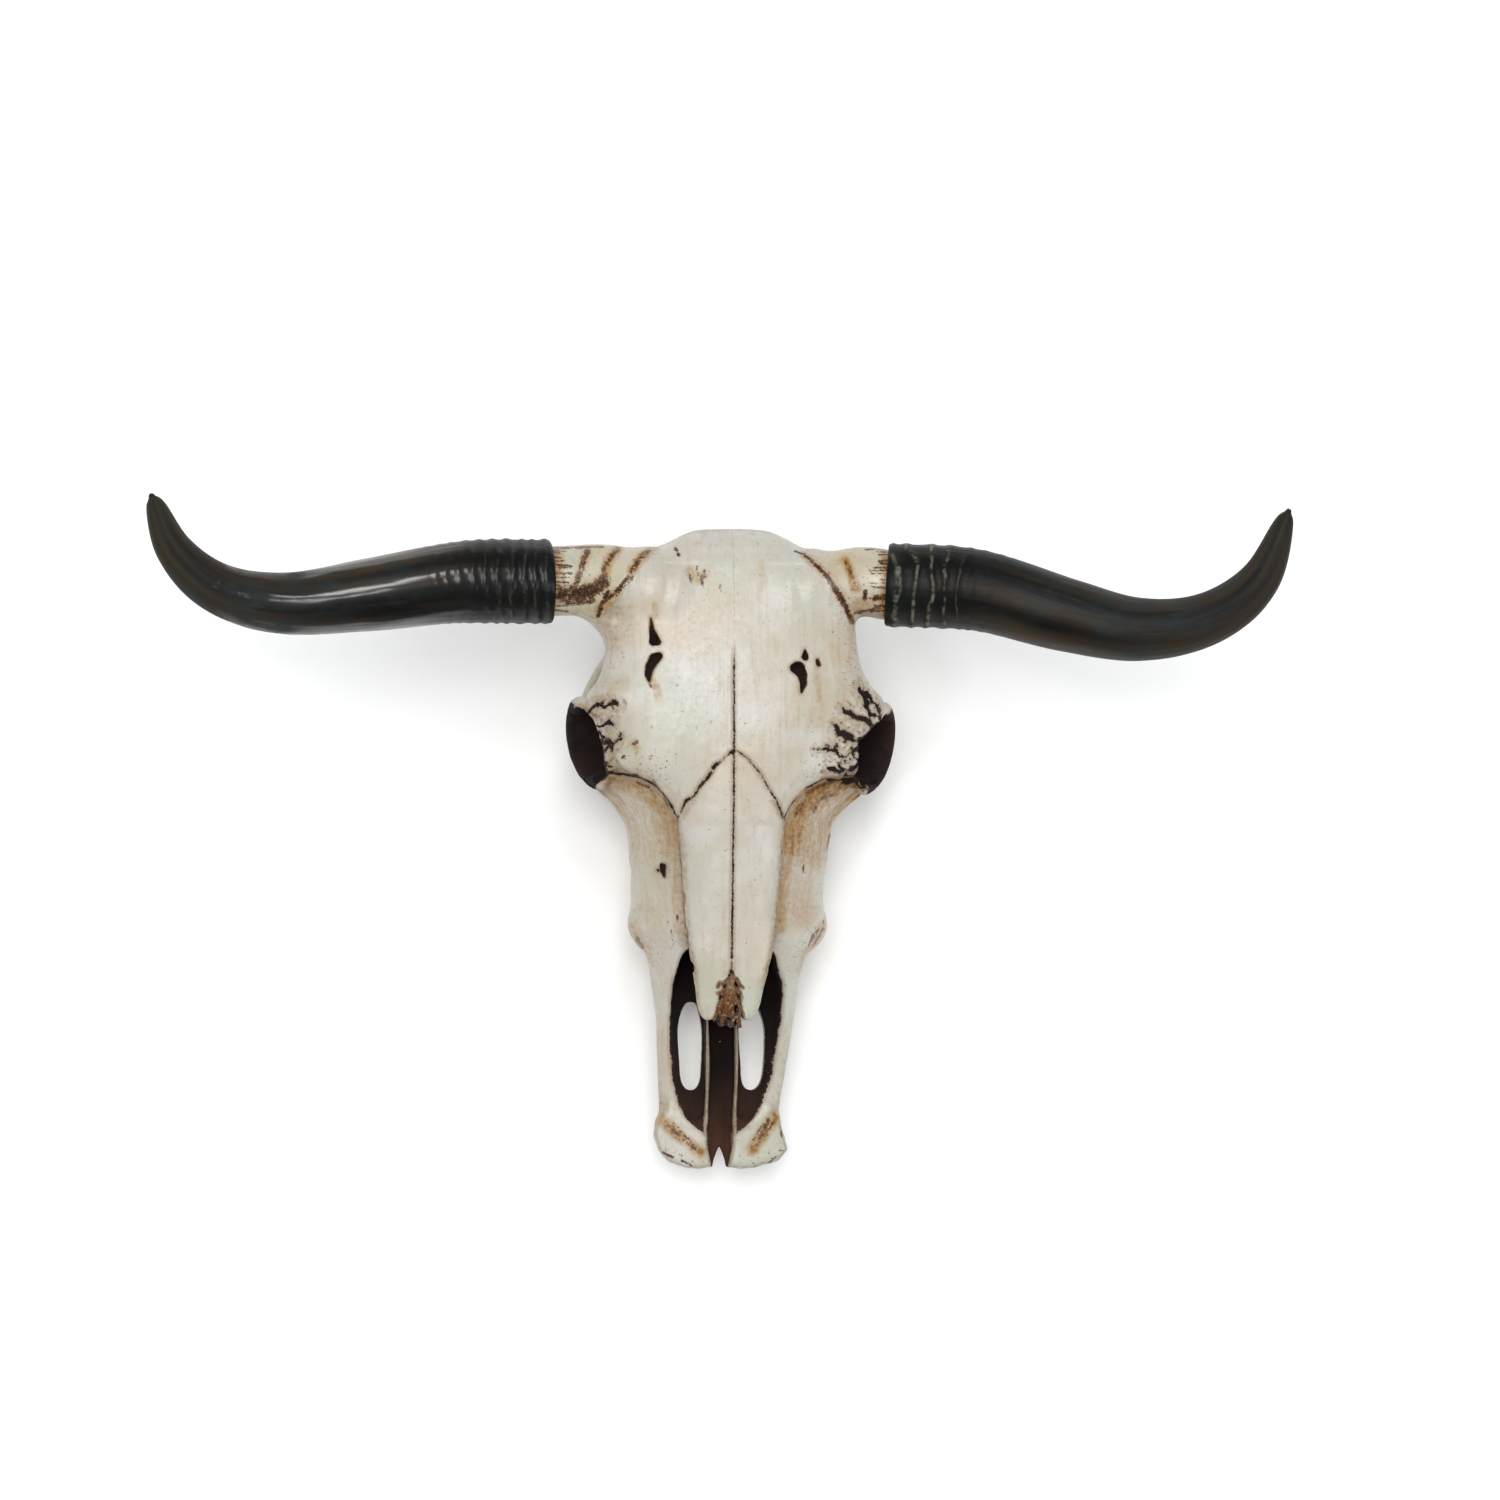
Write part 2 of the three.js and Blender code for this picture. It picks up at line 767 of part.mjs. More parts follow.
// Takes a bone on each side: the outlines are the right one's, and the left one's are flipped.
const pieces = [];
function takePair(name, material, outlines) {
  const right = take({ from: SUTURE / 2, ...outlines });
  const { above, from = SUTURE / 2, to = FAR } = outlines;
  const left = take({ ...outlines, above: above && flipped(above), from: -to, to: -from });
  pieces.push([`${name}_left`, left, material], [`${name}_right`, right, material]);
}

const bone = new THREE.MeshStandardMaterial({ color: BONE_COLOUR, roughness: 0.55 });
const core = new THREE.MeshStandardMaterial({ color: CORE_COLOUR, roughness: 0.7 });
const horn = new THREE.MeshStandardMaterial({ color: HORN_COLOUR, roughness: 0.3 });
const crust = new THREE.MeshStandardMaterial({ color: CRUST_COLOUR, roughness: 0.85 });

const septumRight = [[14, -141], ...notch.slice(1, -1), [7.2, -92], [7.2, -27]];
const vomer = take({
  above: [...septumRight, ...flipped(septumRight)],
  beside: [[-141, 108], [-114, 100], [-26, 68], [-26, 124], [-84, 138], [-93, 162], [-141, 162]],
});
takePair("horn_core", core, {
  above: [[60, 238], [99, 188], [110, 172], [240, 150], [240, 300], [62, 300]],
  beside: [[140, 118], [300, 118], [300, 260], [140, 260]],
});
takePair("nasal", bone, {
  above: [[-5, NASION_Y], [-5, -160], [60, -160], ...nasalSide, [0, NASION_Y]],
  beside: [[-160, 128], [100, 162], [100, 220], [-160, 220]],
});
takePair("frontal", bone, {
  above: [[-5, NASION_Y], [0, NASION_Y], ...browLine, [150, 56], [150, 300], [-5, 300]],
  beside: [[0, 150], [60, 126], [116, 118], [240, 118], [240, 150], [300, 150], [300, 240], [0, 240]],
});
takePair("premaxilla", bone, {
  beside: [[-300, 0], [-150, 0], [-150, 58], [-118, 84], [-70, 128], [-60, 160], [-300, 160]],
});
takePair("lacrimal", bone, {
  above: [[44, 0], [150, -10], [150, 90], [44, 90]],
  beside: [[-2, 132], [30, 110], [62, 106], [84, 110], [84, 200], [-2, 200]],
});
takePair("zygomatic", bone, {
  above: [[80, -34], [70, 10], [72, 40], [84, 62], [84, 96], [96, 126], [160, 126], [160, -34]],
  beside: [[-24, 40], [130, 40], [118, 118], [84, 112], [62, 106], [30, 109], [4, 90]],
});
takePair("temporal", bone, {
  above: [[36, 108], [36, 240], [110, 240], [160, 150], [160, 90], [80, 90]],
  beside: [[90, 20], [194, 20], [208, 70], [204, 118], [90, 118]],
});
const occipital = take({
  beside: [[190, -10], [320, -10], [320, 300], [212, 300], [204, 118], [208, 70]],
});
const sphenoid = take({
  above: [[-90, 92], [90, 92], [90, 230], [-90, 230]],
});
pieces.push(["occipital", occipital, bone], ["sphenoid", sphenoid, bone], ["vomer", vomer, crust]);
takePair("maxilla", bone, {});
pieces.push(["horn_left", sheath(leftHornLine), horn], ["horn_right", sheath(rightHornLine), horn]);

// ---- Scene graph ----------------------------------------------------------------------------
function meshOf(name, body, material) {
  const m = body.getMesh();
  const positions = new Float32Array(m.numVert * 3);
  for (let i = 0; i < m.numVert; i++)
    positions.set(m.vertProperties.subarray(i * m.numProp, i * m.numProp + 3), i * 3);
  const geometry = new THREE.BufferGeometry();
  geometry.setAttribute("position", new THREE.BufferAttribute(positions, 3));
  geometry.setIndex(new THREE.BufferAttribute(m.triVerts, 1));
  geometry.computeVertexNormals();
  const mesh = new THREE.Mesh(geometry, material);
  mesh.name = name;
  return mesh;
}

const specimen = new THREE.Group();
specimen.add(...pieces.map(([name, body, material]) => meshOf(name, body, material)));

// The origin is on the floor, under the middle of the whole specimen.
const middle = new THREE.Box3().setFromObject(specimen).getCenter(new THREE.Vector3());
specimen.position.set(-middle.x, -middle.y, -FLOOR);

export default specimen;
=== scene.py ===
"""A longhorn steer's skull without its lower jaw, resting on its teeth and jugular processes."""
import math

import bpy
import numpy as np
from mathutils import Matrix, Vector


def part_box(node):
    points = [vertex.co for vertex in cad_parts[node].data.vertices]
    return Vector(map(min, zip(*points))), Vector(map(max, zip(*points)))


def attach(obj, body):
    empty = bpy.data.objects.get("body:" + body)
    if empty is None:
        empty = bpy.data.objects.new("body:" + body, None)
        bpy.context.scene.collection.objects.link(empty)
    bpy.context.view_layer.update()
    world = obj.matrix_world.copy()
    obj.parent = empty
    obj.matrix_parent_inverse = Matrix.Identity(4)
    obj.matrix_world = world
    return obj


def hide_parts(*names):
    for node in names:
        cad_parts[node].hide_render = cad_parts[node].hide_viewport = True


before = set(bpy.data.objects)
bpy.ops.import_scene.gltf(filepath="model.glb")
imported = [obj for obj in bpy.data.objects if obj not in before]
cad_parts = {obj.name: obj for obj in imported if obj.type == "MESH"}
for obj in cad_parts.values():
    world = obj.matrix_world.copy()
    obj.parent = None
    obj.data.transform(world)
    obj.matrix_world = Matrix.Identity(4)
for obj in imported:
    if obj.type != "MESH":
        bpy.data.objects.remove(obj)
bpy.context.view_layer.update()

import openvdb
from mathutils import Matrix, Vector

# ---- The bone of the skull --------------------------------------------------------------------
# Bone is grown, not made: every part of it runs into the next in a smooth fillet. So the whole
# skull is first worked out as one field of distances to its surface, in millimetres, on a grid of
# points, and then parted into its bones along the sutures and skinned.
MM = 0.001
TIP_Y = -252.0  # the front of the premaxilla, in the skull's own millimetres
nasal_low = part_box("nasal_left")[0]
nasal_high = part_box("nasal_right")[1]
MIDLINE_X = (nasal_low[0] + nasal_high[0]) / 2
SKULL_ORIGIN = np.array([MIDLINE_X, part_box("premaxilla_right")[0][1] - TIP_Y * MM, 0.0])

STEP = 1.25  # between the grid's points
GRID_LOW = np.array([-155.0, -257.5, -5.0])
GRID_HIGH = np.array([155.0, 260.0, 205.0])
FAR = 24.0  # distances stop here


def curve(pairs):
    """A smooth curve through (place, value) pairs, with no overshoot between them."""
    xs, vs = (np.array(column, dtype=np.float32) for column in zip(*pairs))
    widths = np.diff(xs)
    slopes = np.diff(vs) / widths
    tangents = np.empty_like(vs)
    tangents[0], tangents[-1] = slopes[0], slopes[-1]
    before, after = slopes[:-1], slopes[1:]
    rising = before * after > 0
    total = np.where(rising, before + after, 1)
    tangents[1:-1] = np.where(rising, 2 * before * after / total, 0)

    def value(x):
        x = np.clip(x, xs[0], xs[-1])
        i = np.clip(np.searchsorted(xs, x, side="right") - 1, 0, len(widths) - 1)
        h = widths[i]
        t = (x - xs[i]) / h
        return (
            vs[i] * (2 * t**3 - 3 * t**2 + 1)
            + vs[i + 1] * (3 * t**2 - 2 * t**3)
            + h * (tangents[i] * (t**3 - 2 * t**2 + t) + tangents[i + 1] * (t**3 - t**2))
        )

    return value


def constant(value):
    return lambda x: np.full_like(x, value)


def blended(a, b, soft):
    """The lower of two distances, with a fillet about `soft` millimetres wide where they meet."""
    if soft <= 0:
        return np.minimum(a, b)
    h = np.maximum(soft - np.abs(a - b), 0) / soft
    return np.minimum(a, b) - h * h * soft / 4


class Shape:
    """A solid as a function from points to distances, with the box that holds it."""

    def __init__(self, distance, low, high):
        self.distance = distance
        self.low = np.array(low, dtype=float)
        self.high = np.array(high, dtype=float)


def loft(start, end, half, top, bottom, level, upper, lower, shift=0.0, round_ends=4.0):
    """Superellipse sections along Y, flatter where `upper` and `lower`, their powers, are large."""

    def distance(x, y, z):
        across = np.abs(x - shift) / half(y)
        rise = z - level(y)
        reach = np.where(rise > 0, top(y) - level(y), level(y) - bottom(y))
        power = np.where(rise > 0, upper, lower).astype(np.float32)
        height = np.abs(rise) / reach
        across = np.maximum(across, 1e-4)
        height = np.maximum(height, 1e-4)
        size = (across**power + height**power) ** (1 / power)
        slope = size ** (1 - power) * np.sqrt(
            (across ** (power - 1) / half(y)) ** 2 + (height ** (power - 1) / reach) ** 2
        )
        sides = (size - 1) / np.maximum(slope, 1 / np.maximum(half(y), reach))
        ends = np.maximum(start - y, y - end)
        return -blended(-sides, -ends, round_ends)

    ys = np.linspace(start, end, 60, dtype=np.float32)
    wide = float(half(ys).max())
    low = (shift - wide, start, float(bottom(ys).min()))
    high = (shift + wide, end, float(top(ys).max()))
    return Shape(distance, low, high)


def path_through(points, count):
    """Evenly parted points on a smooth path through the given ones."""
    knots = np.array(points, dtype=np.float32)
    padded = np.vstack([2 * knots[0] - knots[1], knots, 2 * knots[-1] - knots[-2]])
    dense = []
    for i in range(1, len(padded) - 2):
        a, b, c, d = padded[i - 1 : i + 3]
        t = np.linspace(0, 1, 24, endpoint=False, dtype=np.float32)[:, None]
        dense.append(
            0.5 * (2 * b + (c - a) * t + (2 * a - 5 * b + 4 * c - d) * t**2
                   + (3 * b - a - 3 * c + d) * t**3)
        )
    dense = np.vstack([*dense, knots[-1:]])
    run = np.concatenate([[0], np.cumsum(np.linalg.norm(np.diff(dense, axis=0), axis=1))])
    places = np.linspace(0, run[-1], count)
    return np.column_stack([np.interp(places, run, dense[:, k]) for k in range(3)])


def bar(points, across, along, up=(0, 0, 1), pieces=9):
    """A bar along a path, with an oval section: one radius sideways and one along `up`."""
    joints = path_through(points, pieces + 1).astype(np.float32)
    ts = np.linspace(0, 1, pieces + 1)
    sideways = np.array([across(t) for t in ts], dtype=np.float32)
    upright = np.array([along(t) for t in ts], dtype=np.float32)

    def distance(x, y, z):
        best = None
        for i in range(pieces):
            a, b = joints[i], joints[i + 1]
            run = b - a
            length = float(np.linalg.norm(run))
            tangent = run / length
            side = np.cross(np.array(up, dtype=np.float32), tangent)
            side /= np.linalg.norm(side)
            rise = np.cross(tangent, side)
            px, py, pz = x - a[0], y - a[1], z - a[2]
            forward = px * tangent[0] + py * tangent[1] + pz * tangent[2]
            t = np.clip(forward / length, 0, 1)
            ra = sideways[i] + t * (sideways[i + 1] - sideways[i])
            rb = upright[i] + t * (upright[i + 1] - upright[i])
            small = np.minimum(ra, rb)
            u = (px * side[0] + py * side[1] + pz * side[2]) / ra
            v = (px * rise[0] + py * rise[1] + pz * rise[2]) / rb
            w = (forward - t * length) / small
            reach = (np.sqrt(u * u + v * v + w * w) - 1) * small
            best = reach if best is None else np.minimum(best, reach)
        return best

    thick = float(max(sideways.max(), upright.max()))
    return Shape(distance, joints.min(axis=0) - thick, joints.max(axis=0) + thick)


def ball(centre, radii):
    """An ellipsoid."""
    cx, cy, cz = centre
    rx, ry, rz = radii
    small = min(radii)

    def distance(x, y, z):
        u, v, w = (x - cx) / rx, (y - cy) / ry, (z - cz) / rz
        return (np.sqrt(u * u + v * v + w * w) - 1) * small

    return Shape(distance, np.subtract(centre, radii), np.add(centre, radii))


def outline_distance(outline, x, y):
    """Distance from points to a closed outline in a plane, negative inside it."""
    nearest = np.full(np.broadcast(x, y).shape, np.inf, dtype=np.float32)
    inside = np.zeros(nearest.shape, dtype=bool)
    for (ax, ay), (bx, by) in zip(outline, [*outline[1:], outline[0]]):
        ex, ey = bx - ax, by - ay
        px, py = x - ax, y - ay
        t = np.clip((px * ex + py * ey) / (ex * ex + ey * ey), 0, 1)
        nearest = np.minimum(nearest, (px - t * ex) ** 2 + (py - t * ey) ** 2)
        if ay != by:
            crosses = (ay > y) != (by > y)
            inside ^= crosses & (x < ex * (y - ay) / ey + ax)
    return np.where(inside, -1, 1) * np.sqrt(nearest)


def slab(outline, low, high, soft=3.0):
    """A flat piece of bone: an outline seen from above, between two heights, with round edges."""

    def distance(x, y, z):
        sides = outline_distance(outline, x, y)
        ends = np.maximum(low - z, z - high)
        return -blended(-sides, -ends, soft)

    xs, ys = zip(*outline)
    return Shape(distance, (min(xs), min(ys), low), (max(xs), max(ys), high))


class Field:
    """Distances on the grid to everything joined and carved so far."""

    def __init__(self, low, high):
        count = np.round((np.array(high) - low) / STEP).astype(int) + 1
        self.low = np.array(low, dtype=float)
        self.axes = [
            (self.low[k] + STEP * np.arange(count[k])).astype(np.float32) for k in range(3)
        ]
        self.values = np.full(count, FAR, dtype=np.float32)

    def block(self, low, high):
        """The part of the grid inside a box: its slices, and the points' x, y and z."""
        window = []
        for k in range(3):
            first = int(np.floor((low[k] - self.low[k]) / STEP))
            last = int(np.ceil((high[k] - self.low[k]) / STEP)) + 1
            window.append(slice(max(first, 0), max(min(last, len(self.axes[k])), 0)))
        x, y, z = (axis[part] for axis, part in zip(self.axes, window))
        return tuple(window), x[:, None, None], y[None, :, None], z[None, None, :]

    def join(self, shape, soft=6.0):
        room = soft + 8
        window, x, y, z = self.block(shape.low - room, shape.high + room)
        there = self.values[window]
        self.values[window] = blended(there, shape.distance(x, y, z), soft)

    def carve(self, shape, soft=3.0):
        room = soft + 8
        window, x, y, z = self.block(shape.low - room, shape.high + room)
        there = self.values[window]
        self.values[window] = -blended(-there, shape.distance(x, y, z), soft)


# The right half of the skull is worked out first, and mirrored.
half_skull = Field((0, GRID_LOW[1], GRID_LOW[2]), GRID_HIGH)
crown = curve([(TIP_Y, 120), (-132, 153), (-62, 166), (0, 176), (50, 184), (100, 188),
               (200, 185), (238, 178), (255, 163)])

# The face: the cheek-tooth bone with the two bars that reach forward round the nose opening.
muzzle = loft(
    -216, 70,
    half=curve([(-216, 49), (-196, 48), (-150, 52.5), (-118, 54.5), (-102, 55.5), (-83, 62),
                (-71, 70.5), (-58, 77), (-40, 77), (0, 80), (30, 79), (70, 67)]),
    top=curve([(-216, 63), (-190, 67), (-165, 75), (-140, 89), (-118, 107), (-95, 132),
               (-77, 148), (-40, 158), (0, 165), (70, 172)]),
    bottom=curve([(-216, 47), (-110, 46), (-60, 40), (0, 34), (40, 34), (70, 46)]),
    level=curve([(-216, 54), (-165, 59), (-128, 66), (-60, 72), (0, 78), (70, 90)]),
    upper=1.75, lower=3,
)
cheeks = loft(
    -36, 72,
    half=curve([(-36, 70), (0, 75), (22, 78), (38, 88), (52, 98), (64, 102), (72, 100)]),
    top=curve([(-36, 146), (0, 163), (30, 172), (72, 177)]),
    bottom=curve([(-36, 62), (22, 68), (72, 88)]),
    level=curve([(-36, 92), (22, 102), (50, 114), (72, 120)]),
    upper=1.6, lower=1.8,
)
half_skull.join(muzzle, 0)
half_skull.join(cheeks, 10)
half_skull.join(ball((70, -58, 70), (8.5, 12, 13)), 9)  # facial tuberosity
half_skull.join(
    bar([(42, -118, 48), (49, -70, 40), (56, 0, 34), (58, 32, 40)],
        lambda t: 12, lambda t: 15), 10)  # the ridge that holds the teeth

nose_duct = loft(
    -222, -24,
    half=curve([(-222, 14), (-212, 26), (-196, 35), (-170, 40), (-140, 41.5), (-118, 41.5),
                (-100, 40), (-88, 38), (-78, 35.5), (-69, 32), (-50, 27), (-24, 12)]),
    top=curve([(-103, 230), (-84, 172), (-66, 141), (-24, 124)]),
    bottom=curve([(-222, 53), (-90, 56), (-24, 74)]),
    level=curve([(-222, 70), (-77, 92), (-24, 98)]),
    upper=3.2, lower=3.2,
)
half_skull.carve(nose_duct, 4)

# The floor of the nose runs on between the front plates to a notch at the tip.
CHANNEL_HALF = 10
nose_floor = slab(
    [(-5, -232), (0, -234), (6, TIP_Y + 3), (CHANNEL_HALF + 1, -232), (CHANNEL_HALF + 1, -216),
     (30, -216), (46, -196), (50, -100), (-5, -100)], 45, 52)
half_skull.join(nose_floor, 3)

# The forehead and the mound of the poll.
forehead = loft(
    22, 255,
    half=curve([(22, 40), (36, 47), (51, 60), (60, 78), (68, 92), (80, 97), (95, 101),
                (110, 113), (120, 117), (134, 107), (150, 101), (165, 99), (185, 97),
                (210, 86), (230, 63), (243, 49), (250, 40), (255, 31)]),
    top=crown,
    bottom=curve([(22, 110), (60, 112), (110, 122), (150, 128), (200, 112), (255, 132)]),
    level=lambda y: crown(y) - np.where(y > 225, 16, 26).astype(np.float32),
    upper=2.7, lower=2.6,
)
half_skull.join(forehead, 9)

braincase = loft(
    60, 240,
    half=curve([(60, 46), (110, 54), (150, 59), (180, 64), (205, 76), (222, 84), (234, 80),
                (240, 68)]),
    top=curve([(60, 165), (200, 170), (240, 163)]),
    bottom=curve([(60, 60), (110, 62), (170, 56), (215, 48), (240, 56)]),
    level=curve([(60, 112), (150, 108), (240, 100)]),
    upper=2.6, lower=2.2,
)
skull_base = loft(
    88, 236,
    half=curve([(88, 12), (140, 15), (180, 21), (210, 30), (236, 34)]),
    top=constant(80.0),
    bottom=curve([(88, 56), (140, 48), (185, 38), (210, 34), (236, 42)]),
    level=constant(60.0),
    upper=2, lower=2.4,
)
half_skull.join(braincase, 12)
half_skull.join(skull_base, 12)
half_skull.join(ball((0, 236, 138), (20, 9, 16)), 10)  # nuchal tuberosity
half_skull.join(ball((43, 178, 52), (12, 16, 20)), 5)  # bulla
half_skull.join(bar([(48, 184, 70), (64, 186, 76), (80, 188, 82)], lambda t: 9, lambda t: 10), 6)
half_skull.join(bar([(52, 216, 78), (53, 210, 48), (51, 205, 22), (48, 200, -4)],
                    lambda t: 11 - 5 * t, lambda t: 18 - 9 * t, up=(0, 1, 0)), 7)
half_skull.join(ball((23, 230, 49), (19, 16, 22)), 5)  # condyle
half_skull.carve(ball((0, 240, 66), (16, 46, 14)), 4)  # foramen magnum
half_skull.join(loft(
    34, 128, half=constant(4.0), top=constant(90.0),
    bottom=curve([(34, 38), (70, 34), (110, 32), (128, 42)]), level=constant(64.0),
    upper=4, lower=4, shift=25), 8)  # pterygoid plate
half_skull.carve(loft(
    40, 150, half=constant(15.0), top=curve([(40, 62), (90, 76), (150, 60)]),
    bottom=constant(20.0), level=constant(50.0), upper=2, lower=4), 5)  # inner nostrils

# The orbit stands out from the skull as a ring of bone, with a deep socket behind it.
ORBIT = np.array([113.0, 86.0, 128.0])
GAZE = np.array([0.9, -0.228, 0.372])
GAZE /= np.linalg.norm(GAZE)
ORBIT_RADIUS = 31.0
RIM_RADIUS = 5.0


def orbit_frame(x, y, z):
    """Height of points along the way the orbit faces, and their distance from its axis."""
    px, py, pz = x - ORBIT[0], y - ORBIT[1], z - ORBIT[2]
    height = px * GAZE[0] + py * GAZE[1] + pz * GAZE[2]
    spread = px * px + py * py + pz * pz - height * height
    return height, np.sqrt(np.maximum(spread, 0))


def scallops(x, y, z):
    """How far the edge of the orbit wanders in and out round its ring."""
    px, py, pz = x - ORBIT[0], y - ORBIT[1], z - ORBIT[2]
    turn = np.arctan2(pz - px * GAZE[2], py + px * 0.25)
    return 0.6 * np.sin(7 * turn + 0.8) + 0.4 * np.sin(12 * turn + 2.1) + 0.3 * np.sin(19 * turn)


def orbit_wall(x, y, z):
    height, spread = orbit_frame(x, y, z)
    outer = curve([(-56, 13), (-40, 25), (-20, 32), (0, 35.5)])(np.clip(height, -56, 0))
    return np.maximum(spread - outer, np.maximum(height - 1, -56 - height)) * 0.9


def orbit_rim(x, y, z):
    height, spread = orbit_frame(x, y, z)
    return np.sqrt(height**2 + (spread - ORBIT_RADIUS) ** 2) - RIM_RADIUS


def orbit_hollow(x, y, z):
    height, spread = orbit_frame(x, y, z)
    radius = curve([(-60, 0), (-52, 10), (-40, 19), (-12, 26), (4, 28), (24, 38)])(height)
    radius = radius + 1.7 * scallops(x, y, z) * np.exp(-((height / 7) ** 2))
    return np.maximum(spread - radius, -60 - height) * 0.85


def round_orbit(distance):
    return Shape(distance, ORBIT - 60, ORBIT + 60)


half_skull.join(round_orbit(orbit_wall), 10)
half_skull.join(
    bar([(68, 2, 76), (76, 28, 82), (95, 50, 88), (115, 76, 88), (119, 108, 90)],
        lambda t: 12 - 5 * t, lambda t: 20 - 9 * t), 9)  # cheek bone
half_skull.join(
    bar([(120, 92, 88), (115, 118, 86), (101, 144, 88), (86, 165, 87), (58, 190, 90)],
        lambda t: 5.5 + 2 * t, lambda t: 10 + 2 * t), 8)  # zygomatic arch
half_skull.join(round_orbit(orbit_rim), 8)
half_skull.carve(round_orbit(orbit_hollow), 3)

# The nasal bones roof the nose and end in two free tips.
nasal_half = curve([(-132, 21), (-118, 25.5), (-105, 27.5), (-77, 33), (-24, 38), (22, 42),
                    (80, 42)])
roof_depth = curve([(-132, 11), (-85, 13), (-35, 25), (80, 26)])
nasal_roof = loft(
    -132, 80, half=nasal_half, top=crown,
    bottom=lambda y: crown(y) - roof_depth(y),
    level=lambda y: crown(y) - 0.72 * roof_depth(y),
    upper=2, lower=3,
)
notch = [(14, -132.5), (10.8, -130), (9.4, -122), (7.4, -112), (4.4, -103), (1, -93)]
nasal_tip = [(28, -105), (26, -118), (23, -127), (18, -132), *notch, (-6, -93), (-6, -150),
             (60, -150), (60, -105)]
NASALS_LOW, NASALS_HIGH = (0.0, -140.0, 100.0), (60.0, 90.0, 205.0)
nasals = Field(NASALS_LOW, NASALS_HIGH)
nasals.join(nasal_roof, 0)
nasals.carve(slab(nasal_tip, 120, 200, 0), 2)
window, *_ = half_skull.block(NASALS_LOW, NASALS_HIGH)
half_skull.values[window] = blended(half_skull.values[window], nasals.values, 2.5)

turns = np.linspace(0, 2 * math.pi, 40, endpoint=False)
across = np.sign(np.cos(turns)) * np.abs(np.cos(turns)) ** np.where(np.cos(turns) < 0, 0.6, 0.85)
lengthways = np.sign(np.sin(turns)) * np.abs(np.sin(turns)) ** 0.85
half_skull.carve(slab(
    list(zip(25 + (9.7 + 0.4 * np.sin(5 * turns)) * across, -153 + 35.5 * lengthways)),
    20, 75, 0), 2)  # palatine fissure
half_skull.join(slab(
    [(6.5, TIP_Y + 2), (16, TIP_Y), (28, TIP_Y + 1), (41, -246), (49, -237), (51, -226),
     (49, -212), (40, -200), (24, -214), (CHANNEL_HALF, -206), (CHANNEL_HALF, -232)],
    46, 62, 6), 5)  # premaxilla plate
RAIL_X = 11.5
half_skull.join(bar([(RAIL_X, -214, 56), (RAIL_X, -170, 60), (RAIL_X, -122, 66)],
                    lambda t: 2.0, lambda t: 8 + 8 * t), 2)  # rail beside the channel
half_skull.join(loft(
    -136, -20, half=curve([(-136, 6), (-104, 5), (-20, 3)]),
    top=curve([(-136, 118), (-118, 140), (-104, 152), (-20, 160)]),
    bottom=constant(52.0), level=constant(90.0), upper=4, lower=4), 2)  # septum

# The cheek teeth: three of one lobe, then three of two, worn to one surface.
DIASTEMA_Y = -110.0
TOOTH_LENGTHS = [17, 19, 19, 23, 26, 30]
bite = curve([(DIASTEMA_Y, 12), (-60, 5), (-8, 0), (24, 0)])


def tooth_lobe(y, length, half_width):
    x = 46 + 0.085 * (y - DIASTEMA_Y)
    low = float(bite(np.float32(y)))

    def distance(px, py, pz):
        narrow = 1 - 0.16 * np.clip((pz - low) / 50, 0, 1)
        u = np.abs(px - x) / (half_width * narrow)
        v = np.abs(py - y) / (0.52 * length)
        sides = ((u**3 + v**3) ** (1 / 3) - 1) * min(half_width, length / 2)
        return np.maximum(sides, np.maximum(low - pz, pz - 54))

    return Shape(distance, (x - 12, y - length, low), (x + 12, y + length, 54))


front = DIASTEMA_Y
for tooth, length in enumerate(TOOTH_LENGTHS):
    lobes = 1 if tooth < 3 else 2
    for lobe in range(lobes):
        middle = front + length * (lobe + 0.5) / lobes
        half_skull.join(tooth_lobe(middle, length / lobes, 7.5 + 0.4 * tooth), 0.8)
    front += length

# The right half is mirrored. What follows differs from side to side.
skull = Field(GRID_LOW, GRID_HIGH)
skull.values[:] = np.concatenate([half_skull.values[:0:-1], half_skull.values])


# How far the left side, the midline and the right side lean to the right along the skull.
LEAN_LEFT = curve([(-260, -3.5), (-237, -3), (-222, -5), (-205, -3.2), (-190, -3.8), (-160, -1.7),
                   (-133, -0.9), (-88, -0.5), (-76, 2.4), (-66, 3.6), (-50, 2), (-29, 2.6),
                   (-10, 5.4), (10, 6.2), (30, 6.2), (40, 5.4), (52, 1), (64, 0)])
LEAN_MIDDLE = curve([(-218, -2.4), (-170, -1.2), (-132, -2), (-112, -1.2), (-90, 0)])
LEAN_RIGHT = curve([(-260, 4.5), (-237, 3.8), (-226, -0.6), (-212, -3.2), (-195, -1.2), (-180, 0.8),
                    (-152, 1.6), (-130, 3.2), (-100, 4.8), (-86, 3.4), (-70, 2.2), (-50, 3.6),
                    (-30, 2), (-10, 1.6), (15, 1.4), (28, -2.2), (38, -3.6), (50, -1), (62, 0)])
SIDE_AT = curve([(-240, 50), (-110, 56), (-60, 80), (60, 90)])


